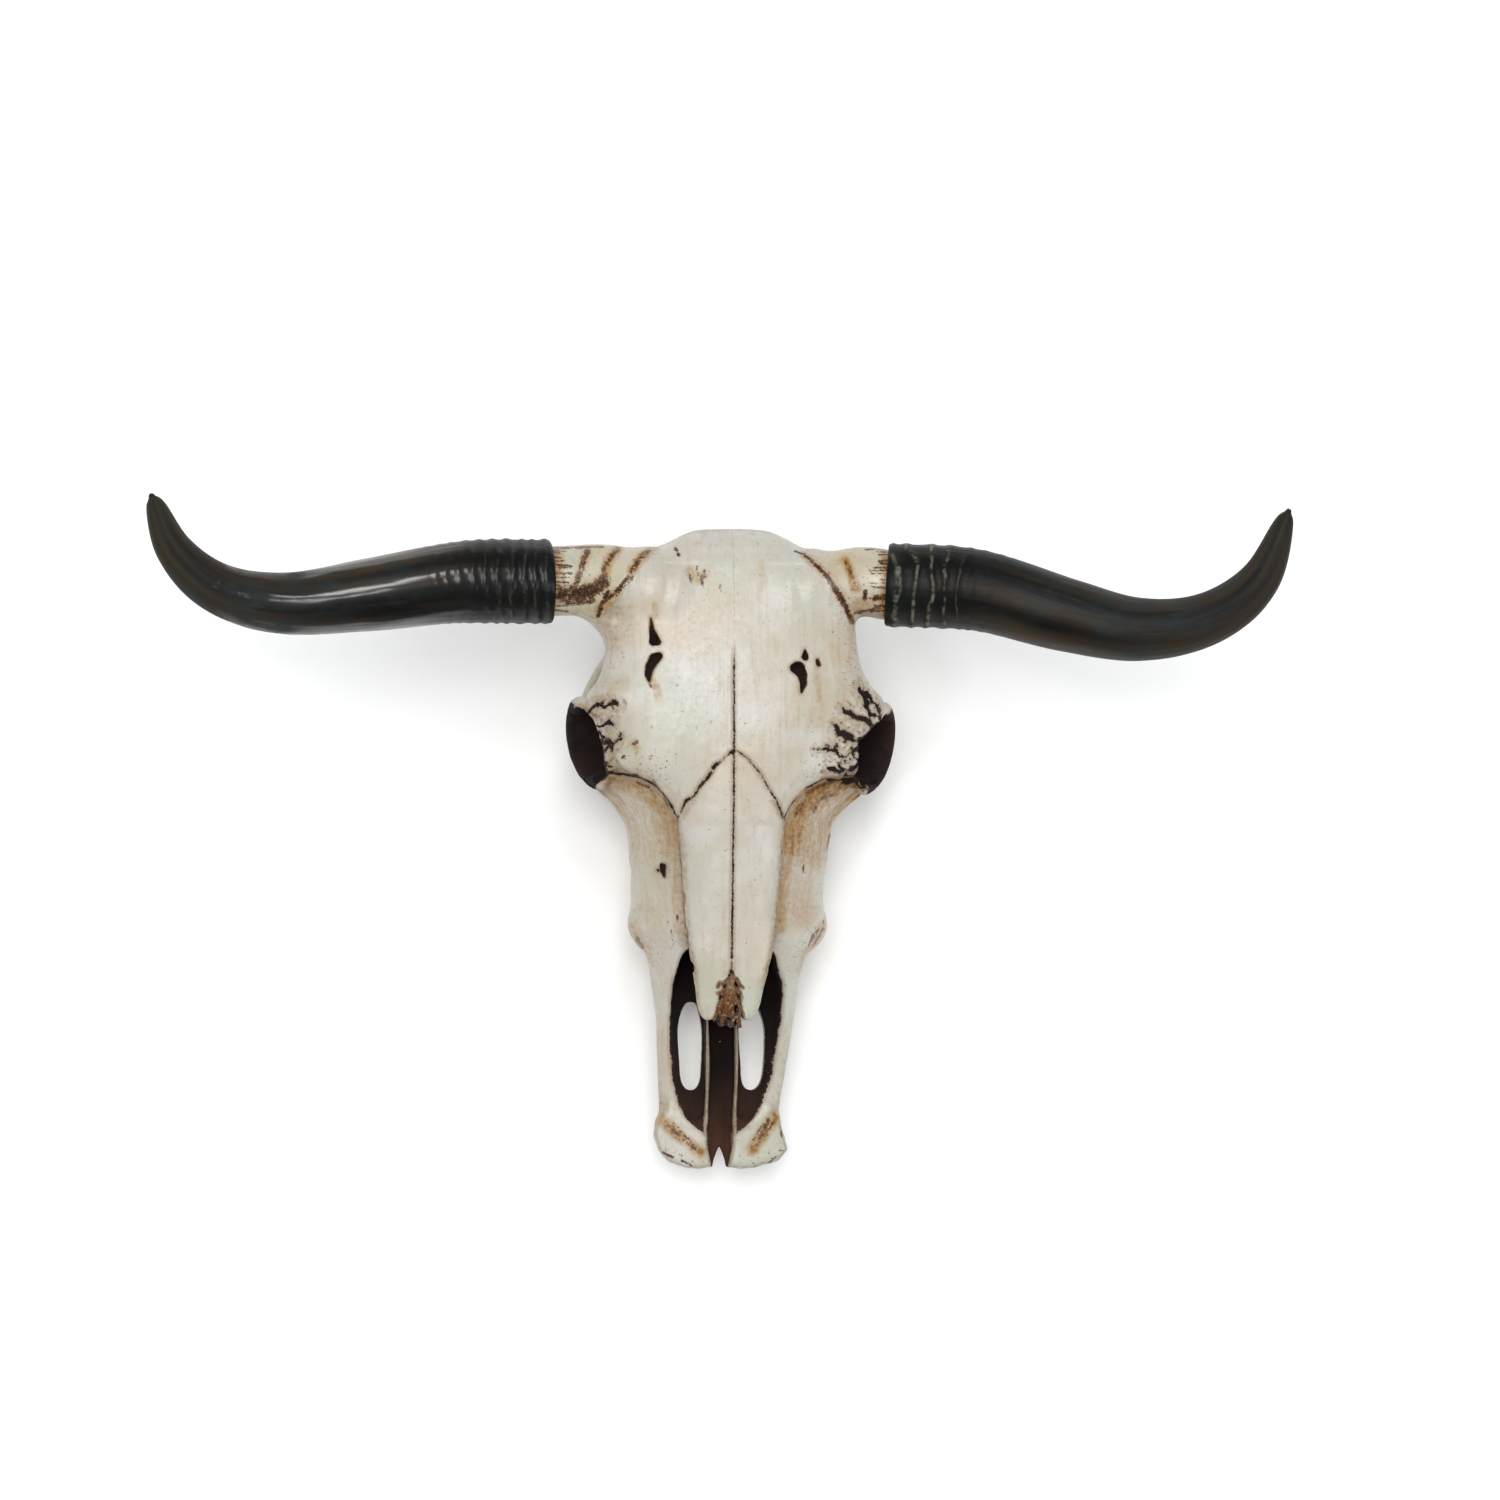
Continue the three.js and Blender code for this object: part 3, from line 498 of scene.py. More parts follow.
def before_shift(x, y):
    """Where a place of the skull lay before its sides were made to differ, as they do in any
    skull: the left orbit is set higher, and the muzzle and the cheeks lean."""
    share = np.clip((np.abs(x) - 62) / 34, 0, 1)
    share = share * share * (3 - 2 * share) * np.exp(-(((y - 84) / 52) ** 4))
    aside = np.clip((np.abs(x) / SIDE_AT(y) - 0.5) / 0.45, 0, 1)
    aside = aside * aside * (3 - 2 * aside)
    lean = np.where(x < 0, LEAN_LEFT(y), LEAN_RIGHT(y))
    lean = LEAN_MIDDLE(y) + aside * (lean - LEAN_MIDDLE(y))
    return x - 3.5 * share - lean, y + 2.0 * share * np.sign(x)


def shifted(values):
    from_x, from_y = before_shift(skull.axes[0][:, None], skull.axes[1][None, :])
    u = (from_x - skull.low[0]) / STEP
    v = (from_y - skull.low[1]) / STEP
    i = np.clip(np.floor(u).astype(int), 0, values.shape[0] - 2)
    j = np.clip(np.floor(v).astype(int), 0, values.shape[1] - 2)
    u, v = (u - i)[:, :, None].astype(np.float32), (v - j)[:, :, None].astype(np.float32)
    near = values[i, j] * (1 - v) + values[i, j + 1] * v
    far = values[i + 1, j] * (1 - v) + values[i + 1, j + 1] * v
    return near * (1 - u) + far * u


skull.values[:] = shifted(skull.values)

# The inner edge of each orbit is broken away where the brow has split.
ORBIT_BREAKS = [
    [(-113.2, 89), (-106.1, 89.7), (-101.4, 81.9), (-100.6, 71.7), (-98.2, 65.4), (-97.4, 61.5),
     (-106, 56.8), (-114.6, 60)],
    [(121.5, 105), (112.8, 100.3), (107.3, 94), (99.3, 86.8), (100.1, 78.2), (100.9, 67.1),
     (98.5, 60), (105.6, 54), (116, 60), (119, 85)],
]
for edge in ORBIT_BREAKS:
    skull.carve(slab(edge, 124, 204, 0), 2)

# The bone inside each horn: a stout peg that fills the horn's hollow root.
HORN_LINES = {
    "left": [(-143, 211.5, 168.5), (-215, 209, 177), (-286, 197, 190), (-347, 189, 202),
             (-397, 198.5, 211), (-431, 227, 218), (-449, 268, 222)],
    "right": [(122, 211, 168), (192, 206.5, 177), (262, 186, 189), (318, 174, 199),
              (370, 182, 208), (410, 212, 215), (432, 265, 222)],
}
CORE_RADIUS = 27.5
SOCKET_DEPTH = 14.0
SOCKET_GAP = 0.6


def spreading(t):
    """The radius of a core, which spreads where it leaves the forehead."""
    return CORE_RADIUS + 11 * max(0, 1 - 2.2 * t) ** 2


for side, line in HORN_LINES.items():
    sign = -1 if side == "left" else 1
    collar = np.array(line[0], dtype=float)
    outwards = np.array(line[1], dtype=float) - collar
    outwards /= np.linalg.norm(outwards)
    core_end = collar + (SOCKET_DEPTH - 1) * outwards
    peg = bar(
        [(58 * sign, 205, 149), (84 * sign, 211, 159), (104 * sign, 213.5, 165), collar, core_end],
        spreading, spreading, pieces=12)

    def trimmed(x, y, z, peg=peg, end=core_end, way=outwards):
        past = (x - end[0]) * way[0] + (y - end[1]) * way[1] + (z - end[2]) * way[2]
        return -blended(-peg.distance(x, y, z), -past, 1.5)

    skull.join(Shape(trimmed, peg.low, peg.high), 9)

# The root of the left core spreads onto the side of the forehead.
skull.join(bar([(-84, 163, 150), (-97, 178, 156), (-110, 192, 160)],
               lambda t: 8 + 2 * t, lambda t: 14 + 4 * t), 9)

# Dried cartilage fills the notch between the tips of the nasal bones and creeps out over them.
lumps = np.random.RandomState(5)
for _ in range(70):
    along_notch = lumps.uniform(0, 1)
    place_y = -96 - 40 * along_notch
    place_x = lumps.uniform(-1, 1) * (1.0 + 8.5 * along_notch) - 2 * along_notch
    place_z = 152 - 6 * along_notch - 9 * lumps.uniform(0, 1) - 0.25 * abs(place_x)
    size = lumps.uniform(1.4, 3.2)
    skull.join(ball((place_x, place_y, place_z), (size, size * 1.3, size)), 1.2)
CREEPERS = [  # points of each, with the radius there
    [(0, -86, 0.5), (-0.2, -95, 1.0), (-0.7, -102, 2.6), (-0.9, -110, 4.2), (-1.8, -120, 4.0),
     (-1.8, -127, 3)],
    [(-1.4, -99, 1.2), (-5.5, -102.5, 1.5), (-8.9, -102.2, 1.4), (-10.7, -105.5, 1.0)],
    [(-2.7, -106, 1.6), (-7.3, -110, 1.8), (-10.4, -110.4, 1.1)],
    [(-3, -112, 1.8), (-7.9, -118, 1.9), (-9.8, -125, 1.7), (-13, -131.5, 1.5)],
    [(-2.3, -118, 1.8), (-5.4, -125, 1.7), (-7.2, -134, 1.5)],
    [(0.7, -98, 1.3), (3.8, -100, 1.5), (6.2, -104.5, 1.4), (8.9, -106, 1.0)],
    [(1.3, -106, 1.7), (5.7, -109, 1.7), (7.5, -114, 1.4)],
    [(1, -112, 1.8), (5.3, -118.5, 1.9), (6.9, -123, 1.5), (5.5, -131, 1.8), (7.6, -137, 1.3)],
    [(-0.4, -120, 1.8), (1.6, -128, 1.5), (0.6, -135, 1.2)],
]
for creeper in CREEPERS:
    knots = [(x, y, float(crown(np.float32(y))) + 0.2 - 0.012 * x * x) for x, y, _ in creeper]
    thick = [1.15 * radius for *_, radius in creeper]
    stages = np.linspace(0, 1, len(creeper))
    skull.join(bar(knots, lambda t: np.interp(t, stages, thick),
                   lambda t: 0.75 * np.interp(t, stages, thick), pieces=2 * len(creeper)), 1.0)

# The skull rests on its cheek teeth and on the worn ends of its jugular processes.
below_rest = np.maximum(-skull.axes[2], -8)[None, None, :]
skull.values[:] = -blended(-skull.values, -below_rest, 1.5)

# Height of the top of the skull over each place of the grid.
heights = np.where(skull.values < 0, skull.axes[2][None, None, :], -1e3).max(axis=2)


def on_top(x, y):
    i = int(round((x - skull.low[0]) / STEP))
    j = int(round((y - skull.low[1]) / STEP))
    return float(heights[i, j])


# Supraorbital pits: commas of hollow bone where a vein came out on the forehead.
PITS = [  # points of each, with the radius there
    [(-64.8, 182, 0.5), (-64.0, 172, 1.8), (-61.8, 164.5, 3.9)],
    [(-62.5, 163.5, 3.2), (-59.6, 163, 2.4)],
    [(-58.9, 151.8, 3.0), (-61.8, 150, 3.9), (-65.6, 143.5, 3.1), (-67.0, 137, 2.3),
     (-66, 132, 0.8)],
    [(55.8, 157.5, 0.6), (55.8, 152.2, 2.9)],
    [(47.0, 143.0, 3.6), (50.2, 142.8, 5.4), (53.6, 138, 3.8), (54.3, 131, 2.6), (52.8, 124, 0.8)],
    [(65.6, 149.5, 1.3), (66.6, 146.4, 1.7)],
    [(-52.9, -10.6, 2.5), (-52.6, -13.5, 2.2), (-51.4, -18.5, 0.8)],
    [(-57.2, -13, 0.6), (-55.8, -13.4, 1.1)],
]
for pit in PITS:
    for (ax, ay, ar), (bx, by, br) in zip(pit[:-1], pit[1:]):
        skull.carve(bar(
            [(ax, ay, on_top(ax, ay) - 0.4 * ar), (bx, by, on_top(bx, by) - 0.4 * br)],
            lambda t: ar + t * (br - ar), lambda t: 1.5 * (ar + t * (br - ar)), pieces=1), 0.8)

# Cracks where the edge of the orbit has dried and split, and the open parts of the seam over
# the nasal bones. Each is a line on the surface with its width.
CRACKS = [
    ([(-112, 111), (-106, 115), (-101.8, 113.4), (-96.3, 114.2), (-91.6, 114.2)], 2.6),
    ([(-106, 113), (-101, 117.5)], 2.0),
    ([(-108, 98.5), (-101, 97.7), (-97.9, 100.9), (-94.7, 99.3)], 2.2),
    ([(-104, 94), (-102, 89), (-105, 87)], 1.8),
    ([(-106, 87), (-99.4, 85.2), (-93.1, 85.2), (-89.2, 88.4)], 3.2),
    ([(-101, 79), (-97, 82), (-95, 79)], 1.6),
    ([(-99.3, 69.5), (-95.5, 68.8)], 1.8),
    ([(-99, 62), (-93, 63.5)], 1.4),
    ([(98.8, 129), (103.8, 117.6), (107.7, 107.4), (117, 107)], 3.2),
    ([(104.6, 124), (111, 116.8), (115.6, 109.8)], 3.0),
    ([(86, 112), (92, 107.5), (98, 104.8), (111, 100)], 3.0),
    ([(79.5, 97.5), (84, 92.5), (91, 89.5), (101, 87)], 3.8),
    ([(66, 79), (77.7, 80.5), (82.4, 75), (90.3, 74.3), (99, 82)], 2.0),
    ([(79, 85), (79.6, 78)], 1.8),
    ([(94, 80), (97, 74), (101, 72)], 2.6),
    ([(75, 66), (82.4, 62.4), (93.4, 65.6), (101, 70.4)], 2.6),
    ([(84, 69), (88, 63), (97, 60)], 2.0),
    ([(92, 56.5), (103.5, 54.2), (109.8, 51.1)], 3.0),
]
SEAM_LEFT = [(0, 79.2), (-9.4, 70.6), (-14.9, 66.6), (-18.7, 58.8), (-25.5, 51.7),
             (-30.8, 43.1), (-36.8, 39.2), (-43.6, 25.9)]
SEAM_RIGHT = [(0, 79.2), (10.7, 72.5), (21.3, 59.6), (27.1, 49.4), (33.7, 40), (38.7, 30.6),
              (41, 25)]


def line_distance(line, x, y):
    """Distance in plan from points to a line of many parts."""
    nearest = np.full(np.broadcast(x, y).shape, 1e6, dtype=np.float32)
    for (ax, ay), (bx, by) in zip(line[:-1], line[1:]):
        ex, ey = bx - ax, by - ay
        px, py = x - ax, y - ay
        t = np.clip((px * ex + py * ey) / (ex * ex + ey * ey), 0, 1)
        nearest = np.minimum(nearest, (px - t * ex) ** 2 + (py - t * ey) ** 2)
    return np.sqrt(nearest)


# ---- Bones parted along the sutures -------------------------------------------------------------
# Each bone lies inside its own outlines, seen from above and from the right side, and is taken
# from what the bones before it left. The seams wander, as they do where two bones have knitted.
SEAM_GAP = 0.1
NASION_Y = 79.2


def ripple(x, y, z, size, seed):
    """Smooth noise from -1 to 1, with lumps about `size` millimetres across."""
    lattice = np.random.RandomState(seed).uniform(-1, 1, (16, 16, 16)).astype(np.float32)
    total = 0
    cells = []
    for value in (x, y, z):
        scaled = np.asarray(value, dtype=np.float32) / size + 100
        whole = np.floor(scaled).astype(int)
        t = scaled - whole
        cells.append((whole % 16, (whole + 1) % 16, t * t * (3 - 2 * t)))
    for i in (0, 1):
        for j in (0, 1):
            for k in (0, 1):
                share = 1
                for corner, cell in zip((i, j, k), cells):
                    share = share * (cell[2] if corner else 1 - cell[2])
                total = total + share * lattice[cells[0][i], cells[1][j], cells[2][k]]
    return total


xs, ys, zs = skull.axes
px, py = xs[:, None], ys[None, :]
sx, sy = ys[:, None], zs[None, :]
plan_x = px + 1.3 * ripple(px, py, 0, 9, 1) + 0.5 * ripple(px, py, 0, 4, 2)
plan_y = py + 1.3 * ripple(px, py, 50, 9, 3) + 0.5 * ripple(px, py, 50, 4, 4)
side_y = sx + 1.4 * ripple(sx, sy, 0, 10, 5)
side_z = sy + 1.4 * ripple(sx, sy, 50, 10, 6)
midline = before_shift(px, py)[0] + 0.45 * ripple(0, py, 0, 7, 7)
FAR_OUT = 400.0


def inside(above=None, beside=None, side=0):
    """The field of what lies inside two outlines, on one side of the midline or on both."""
    depth = np.full((len(xs), len(ys), 1), -FAR_OUT, dtype=np.float32)
    if above is not None:
        depth = np.maximum(depth, outline_distance(above, plan_x, plan_y)[:, :, None])
    if side:
        depth = np.maximum(depth, (-side * midline)[:, :, None])
    if beside is not None:
        depth = np.maximum(depth, outline_distance(beside, side_y, side_z)[None, :, :])
    return depth


def flipped(outline):
    return [(-x, y) for x, y in outline]


NASAL_SIDE = [(29, -92), (33, -77), (38, -24), (42, 24)]
BROW_LINE = [(42, 24), (46, 36), (58, 51), (73, 59), (100, 62)]
seams = {
    "vomer": dict(
        above=[(-14, -141), (14, -141), *notch[1:], (7, -88), (7, -26), (-7, -26), (-7, -88),
               *flipped(notch[:0:-1])],
        beside=[(-141, 108), (-114, 100), (-26, 68), (-26, 124), (-84, 138), (-93, 162),
                (-141, 162)]),
    "horn_core": dict(
        above=[(60, 238), (99, 188), (110, 172), (240, 150), (240, 300), (62, 300)],
        beside=[(140, 118), (206, 118), (216, 132), (300, 137), (300, 260), (140, 260)]),
    "nasal": dict(
        above=[(-5, NASION_Y), (-5, -160), (60, -160), *NASAL_SIDE, (0, NASION_Y)],
        beside=[(-160, 128), (100, 162), (100, 220), (-160, 220)]),
    "frontal": dict(
        above=[(-5, NASION_Y), (0, NASION_Y), *BROW_LINE, (150, 56), (150, 300), (-5, 300)],
        beside=[(0, 150), (60, 126), (116, 118), (206, 118), (216, 132), (300, 137),
                (300, 240), (0, 240)]),
    "premaxilla": dict(
        beside=[(-300, 0), (-150, 0), (-150, 58), (-118, 84), (-70, 128), (-60, 160),
                (-300, 160)]),
    "lacrimal": dict(
        above=[(44, 0), (150, -10), (150, 90), (44, 90)],
        beside=[(-2, 132), (30, 110), (62, 106), (84, 110), (84, 200), (-2, 200)]),
    "zygomatic": dict(
        above=[(80, -34), (70, 10), (72, 40), (84, 62), (84, 96), (96, 126), (160, 126),
               (160, -34)],
        beside=[(-24, 40), (130, 40), (118, 118), (84, 112), (62, 106), (30, 109), (4, 90)]),
    "temporal": dict(
        above=[(36, 108), (36, 240), (110, 240), (160, 150), (160, 90), (80, 90)],
        beside=[(90, 20), (194, 20), (208, 70), (204, 118), (90, 118)]),
    "occipital": dict(
        beside=[(190, -10), (320, -10), (320, 300), (212, 300), (204, 118), (208, 70)]),
    "sphenoid": dict(above=[(-90, 92), (90, 92), (90, 230), (-90, 230)]),
    "maxilla": dict(),
}
UNPAIRED = ("vomer", "occipital", "sphenoid")
seam_courses = {"left": SEAM_LEFT, "right": SEAM_RIGHT}


def outlines_of(bone, side):
    """A bone's outlines on one side, with the seam at the top of the face as it really runs."""
    outlines = dict(seams[bone])
    above = outlines.get("above")
    if bone in ("nasal", "frontal"):
        course = [(abs(x), y) for x, y in seam_courses[side]]
        joint = above.index((0, NASION_Y))
        above = list(above)
        if bone == "nasal":
            above[-2:] = course[::-1]
        else:
            above[joint : joint + 2] = course
    if above and side == "left":
        above = flipped(above)
    if above:
        outlines["above"] = above
    return outlines


def trilinear(values, low, points):
    """Values and slopes of a grid at points in millimetres."""
    place = (points - low) / STEP
    base = np.clip(np.floor(place).astype(int), 0, np.array(values.shape) - 2)
    t = (place - base).astype(np.float32)
    i, j, k = base.T
    u, v, w = t.T
    c = {}
    for a in (0, 1):
        for b in (0, 1):
            for d in (0, 1):
                c[a, b, d] = values[i + a, j + b, k + d]
    lower = {(a, b): c[a, b, 0] * (1 - w) + c[a, b, 1] * w for a in (0, 1) for b in (0, 1)}
    face = {a: lower[a, 0] * (1 - v) + lower[a, 1] * v for a in (0, 1)}
    value = face[0] * (1 - u) + face[1] * u
    slope_x = face[1] - face[0]
    slope_y = (lower[0, 1] - lower[0, 0]) * (1 - u) + (lower[1, 1] - lower[1, 0]) * u
    slope_z = sum(
        (c[a, b, 1] - c[a, b, 0]) * (u if a else 1 - u) * (v if b else 1 - v)
        for a in (0, 1) for b in (0, 1))
    slope = np.column_stack([slope_x, slope_y, slope_z]) / STEP
    return value, slope


def largest_part(points, quads):
    """Keeps the largest closed part of a mesh, and leaves out chips."""
    label = np.arange(len(points))
    a = quads[:, [0, 1, 2, 3]].ravel()
    b = quads[:, [1, 2, 3, 0]].ravel()
    while True:
        low = np.minimum(label[a], label[b])
        fresh = label.copy()
        np.minimum.at(fresh, a, low)
        np.minimum.at(fresh, b, low)
        fresh = fresh[fresh]
        fresh = fresh[fresh]
        if np.array_equal(fresh, label):
            break
        label = fresh
    counts = np.bincount(label)
    kept = label == counts.argmax()
    order = np.cumsum(kept) - 1
    return points[kept], order[quads[kept[quads[:, 0]]]]


def skin(body, limits):
    """Points and faces of a body's surface inside its limits, with crisp edges at the seams."""
    both = np.maximum(body, limits)
    room = np.argwhere((both < 0).any(axis=(1, 2)))[[0, -1], 0]
    room = [room] + [
        np.argwhere((both < 0).any(axis=axes))[[0, -1], 0] for axes in ((0, 2), (0, 1))]
    first = [max(r[0] - 2, 0) for r in room]
    window = tuple(slice(f, r[1] + 3) for f, r in zip(first, room))
    block = np.pad(both[window], 1, constant_values=FAR)
    grid = openvdb.FloatGrid(FAR)
    grid.copyFromArray(np.ascontiguousarray(block))
    points, quads = grid.convertToQuads(isovalue=0)
    low = skull.low + STEP * (np.array(first) - 1)
    points = points.astype(np.float64) * STEP + low
    points, quads = largest_part(points, quads.astype(int))

    # Points on the grown surface are drawn onto it, and those at its edge onto the edge.
    for _ in range(2):
        d1, n1 = trilinear(body, skull.low, points)
        d2, n2 = trilinear(limits, skull.low, points)
        n11, n22, n12 = (n1 * n1).sum(1), (n2 * n2).sum(1), (n1 * n2).sum(1)
        near1 = (np.abs(d1) < 0.9 * STEP) & (n11 > 0.1)
        near2 = (np.abs(d2) < 0.9 * STEP) & (n22 > 0.1)
        det = n11 * n22 - n12 * n12
        edge = near1 & near2 & (det > 0.25 * n11 * n22)
        move = np.zeros_like(points)
        on1 = near1 & ~edge & (d1 > d2)
        on2 = near2 & ~edge & (d2 >= d1)
        move[on1] = -(d1 / np.maximum(n11, 0.1))[on1, None] * n1[on1]
        move[on2] = -(d2 / np.maximum(n22, 0.1))[on2, None] * n2[on2]
        safe = np.where(edge, det, 1)
        a = (d1 * n22 - d2 * n12) / safe
        b = (d2 * n11 - d1 * n12) / safe
        move[edge] = -(a[:, None] * n1 + b[:, None] * n2)[edge]
        length = np.linalg.norm(move, axis=1, keepdims=True)
        move *= np.minimum(1, 0.8 * STEP / np.maximum(length, 1e-6))
        points = points + move
    return points, quads


def outwards_facing(points, quads):
    """The same faces, turned to point outwards."""
    a, b, c, d = (points[quads[:, k]] for k in range(4))
    volume = (np.cross(c - a, d - b) * (a + b + c + d)).sum()
    return quads if volume > 0 else quads[:, ::-1]


# Slow unevenness of grown bone, which the eye reads in the highlights.
def relief(points):
    x, y, z = points.T
    return (
        0.45 * ripple(x, y, z, 34, 11) + 0.22 * ripple(x, y, z, 15, 12)
        + 0.08 * ripple(x, y, z, 6, 13)
    )


CLEAR = 9.0  # millimetres from a mark, where nothing of it shows any more


def groove(distance, half_width, depth):
    """How deep a groove is at a distance from its middle."""
    return depth * np.clip(1 - distance / half_width, 0, 1) ** 0.6


def crack_distance(x, y):
    """Distance to the edge of the nearest crack, negative inside it."""
    wander_x = x + 1.5 * ripple(x, y, 0, 4.2, 21) + 0.6 * ripple(x, y, 0, 1.9, 24)
    wander_y = y + 1.5 * ripple(x, y, 0, 4.2, 22) + 0.6 * ripple(x, y, 0, 1.9, 25)
    swelling = 1 + 0.9 * ripple(x, y, 0, 3.6, 26)
    nearest = np.full(x.shape, CLEAR, dtype=np.float32)
    for line, width in CRACKS:
        reach = line_distance(line, wander_x, wander_y)
        nearest = np.minimum(nearest, reach - 0.5 * width * swelling)
    # Pores eaten into the bone beside the cracks.
    pores = 0.72 - ripple(x, y, 0, 2.1, 27) - 0.35 * ripple(x, y, 0, 4.5, 28)
    return np.minimum(nearest, np.where(nearest < 6, 1.6 * pores + 0.12 * nearest, CLEAR))


def sutures_distance(x, y):
    """Distance to the edge of the open seams: the face's midline and the two over the nose."""
    wander = 0.5 * ripple(x, y, 0, 3, 23)
    open_left = np.interp(y, [26, 36, 40, 46, 52, 58, 66, 72, 79],
                          [0.3, 0.4, 1.3, 0.5, 1.2, 1.3, 1.3, 0.6, 0.5])
    left = line_distance(SEAM_LEFT, x, y) + wander - open_left
    right = line_distance(SEAM_RIGHT, x, y) + wander - 0.5
    open_middle = np.interp(y, [-137, -120, -60, 0, 79, 120, 150, 158, 164],
                            [1.4, 1.0, 0.7, 0.55, 0.6, 0.5, 0.35, -0.6, -5])
    middle = np.abs(before_shift(x, y)[0]) + 0.35 * wander - open_middle
    left = np.where(x < 2, left, CLEAR)
    right = np.where(x > -2, right, CLEAR)
    return np.minimum(np.minimum(left, right), middle)


# The forehead overhangs the face along the brow. The dark line along the foot of that step is
# partly the seam there and partly a painted shadow of the overhang.
BROW_LEFT = [(-100, 62), (-86, 62.5), (-75, 60), (-62, 52.5), (-52.5, 42), (-48, 33), (-44, 24)]
BROW_RIGHT = [(104, 57), (91.5, 57), (74, 56.5), (60, 49.5), (49, 40), (44, 33), (41.5, 25)]


def brow_distance(x, y):
    wander = 0.5 * ripple(x, y, 0, 4, 29)
    left = line_distance(BROW_LEFT, x, y) + wander
    right = line_distance(BROW_RIGHT, x, y) + 1.2 * wander + 0.25
    return np.where(x < 0, left, right)


FACE_EDGE = [(0, NASION_Y), (42, 25), *BROW_LINE[1:], (150, 62), (150, 300), (-10, 300), (-10, 200)]
NASAL_EDGE = [(-10, NASION_Y), (-10, -160), (25, -160), *NASAL_SIDE, (0, NASION_Y)]


def under_brow(x, y):
    """How deep the face falls away below the brow and beside the nasal bones."""
    away = np.abs(x)
    below = outline_distance(FACE_EDGE, away, y)
    beside = outline_distance(NASAL_EDGE, away, y)
    step = np.clip(below / 3.0, 0, 1)
    flank = np.clip(beside / 3.0, 0, 1)
    brow = 3.4 * step * flank * np.exp(-np.maximum(below, 0) / 16)
    nose = 1.5 * flank * np.exp(-np.maximum(beside, 0) / 10) * np.clip((40 - y) / 20, 0, 1)
    return brow + nose * np.clip((y + 105) / 20, 0, 1)


def tapered_distance(lines, x, y):
    """Distance in plan to the edge of the nearest line of swelling and thinning width."""
    nearest = np.full(x.shape, CLEAR, dtype=np.float32)
    for line in lines:
        for (ax, ay, ar), (bx, by, br) in zip(line[:-1], line[1:]):
            ex, ey = bx - ax, by - ay
            t = np.clip(((x - ax) * ex + (y - ay) * ey) / (ex * ex + ey * ey), 0, 1)
            reach = np.hypot(x - ax - t * ex, y - ay - t * ey) - (ar + t * (br - ar))
            nearest = np.minimum(nearest, reach)
    return nearest


def hollows_distance(x, y, z):
    """Distance to the dark-stained insides of the orbits and of the nose. In the nose channel this
    dark is partly painted shade.
    """
    from_x, from_y = before_shift(x, y)
    away = np.abs(from_x)
    ragged = ripple(x, y, z, 5, 31) + 0.6 * ripple(x, y, z, 2.4, 32)
    height, spread = orbit_frame(np.abs(from_x), from_y, z)
    rise = (z - ORBIT[2]) - height * GAZE[2]
    lower = np.clip((4 - rise) / 14, 0, 1)
    orbit = np.maximum(spread - 30 - 8 * lower, height - 2.6 - 7 * lower + 1.3 * ragged)
    orbit = np.maximum(orbit, -CLEAR - height)
    orbit = np.minimum(orbit, np.maximum(spread - 29, height - 2))
    for edge in ORBIT_BREAKS:
        broken = outline_distance(edge, x, y) - 1.0 + 0.6 * ragged
        orbit = np.minimum(orbit, np.where((z > 118) & (z < 178), broken, CLEAR))
    duct = nose_duct.distance(away, y, z) - 1.2 + 0.7 * ragged
    roof = crown(y) - roof_depth(y) + 1.5
    duct = np.where((y < -30) & (z < roof), duct, CLEAR)
    rail_top = np.interp(y, [-214, -122], [63, 81])
    rail = np.maximum(np.abs(away - RAIL_X) - 1.9, rail_top - 4 - z + ragged)
    duct = np.maximum(duct, np.where(y < -108, -rail, -CLEAR))
    duct = np.minimum(duct, np.where(y < -205, np.maximum(away - 9.3, z - 57), CLEAR))
    return np.minimum(orbit, duct)


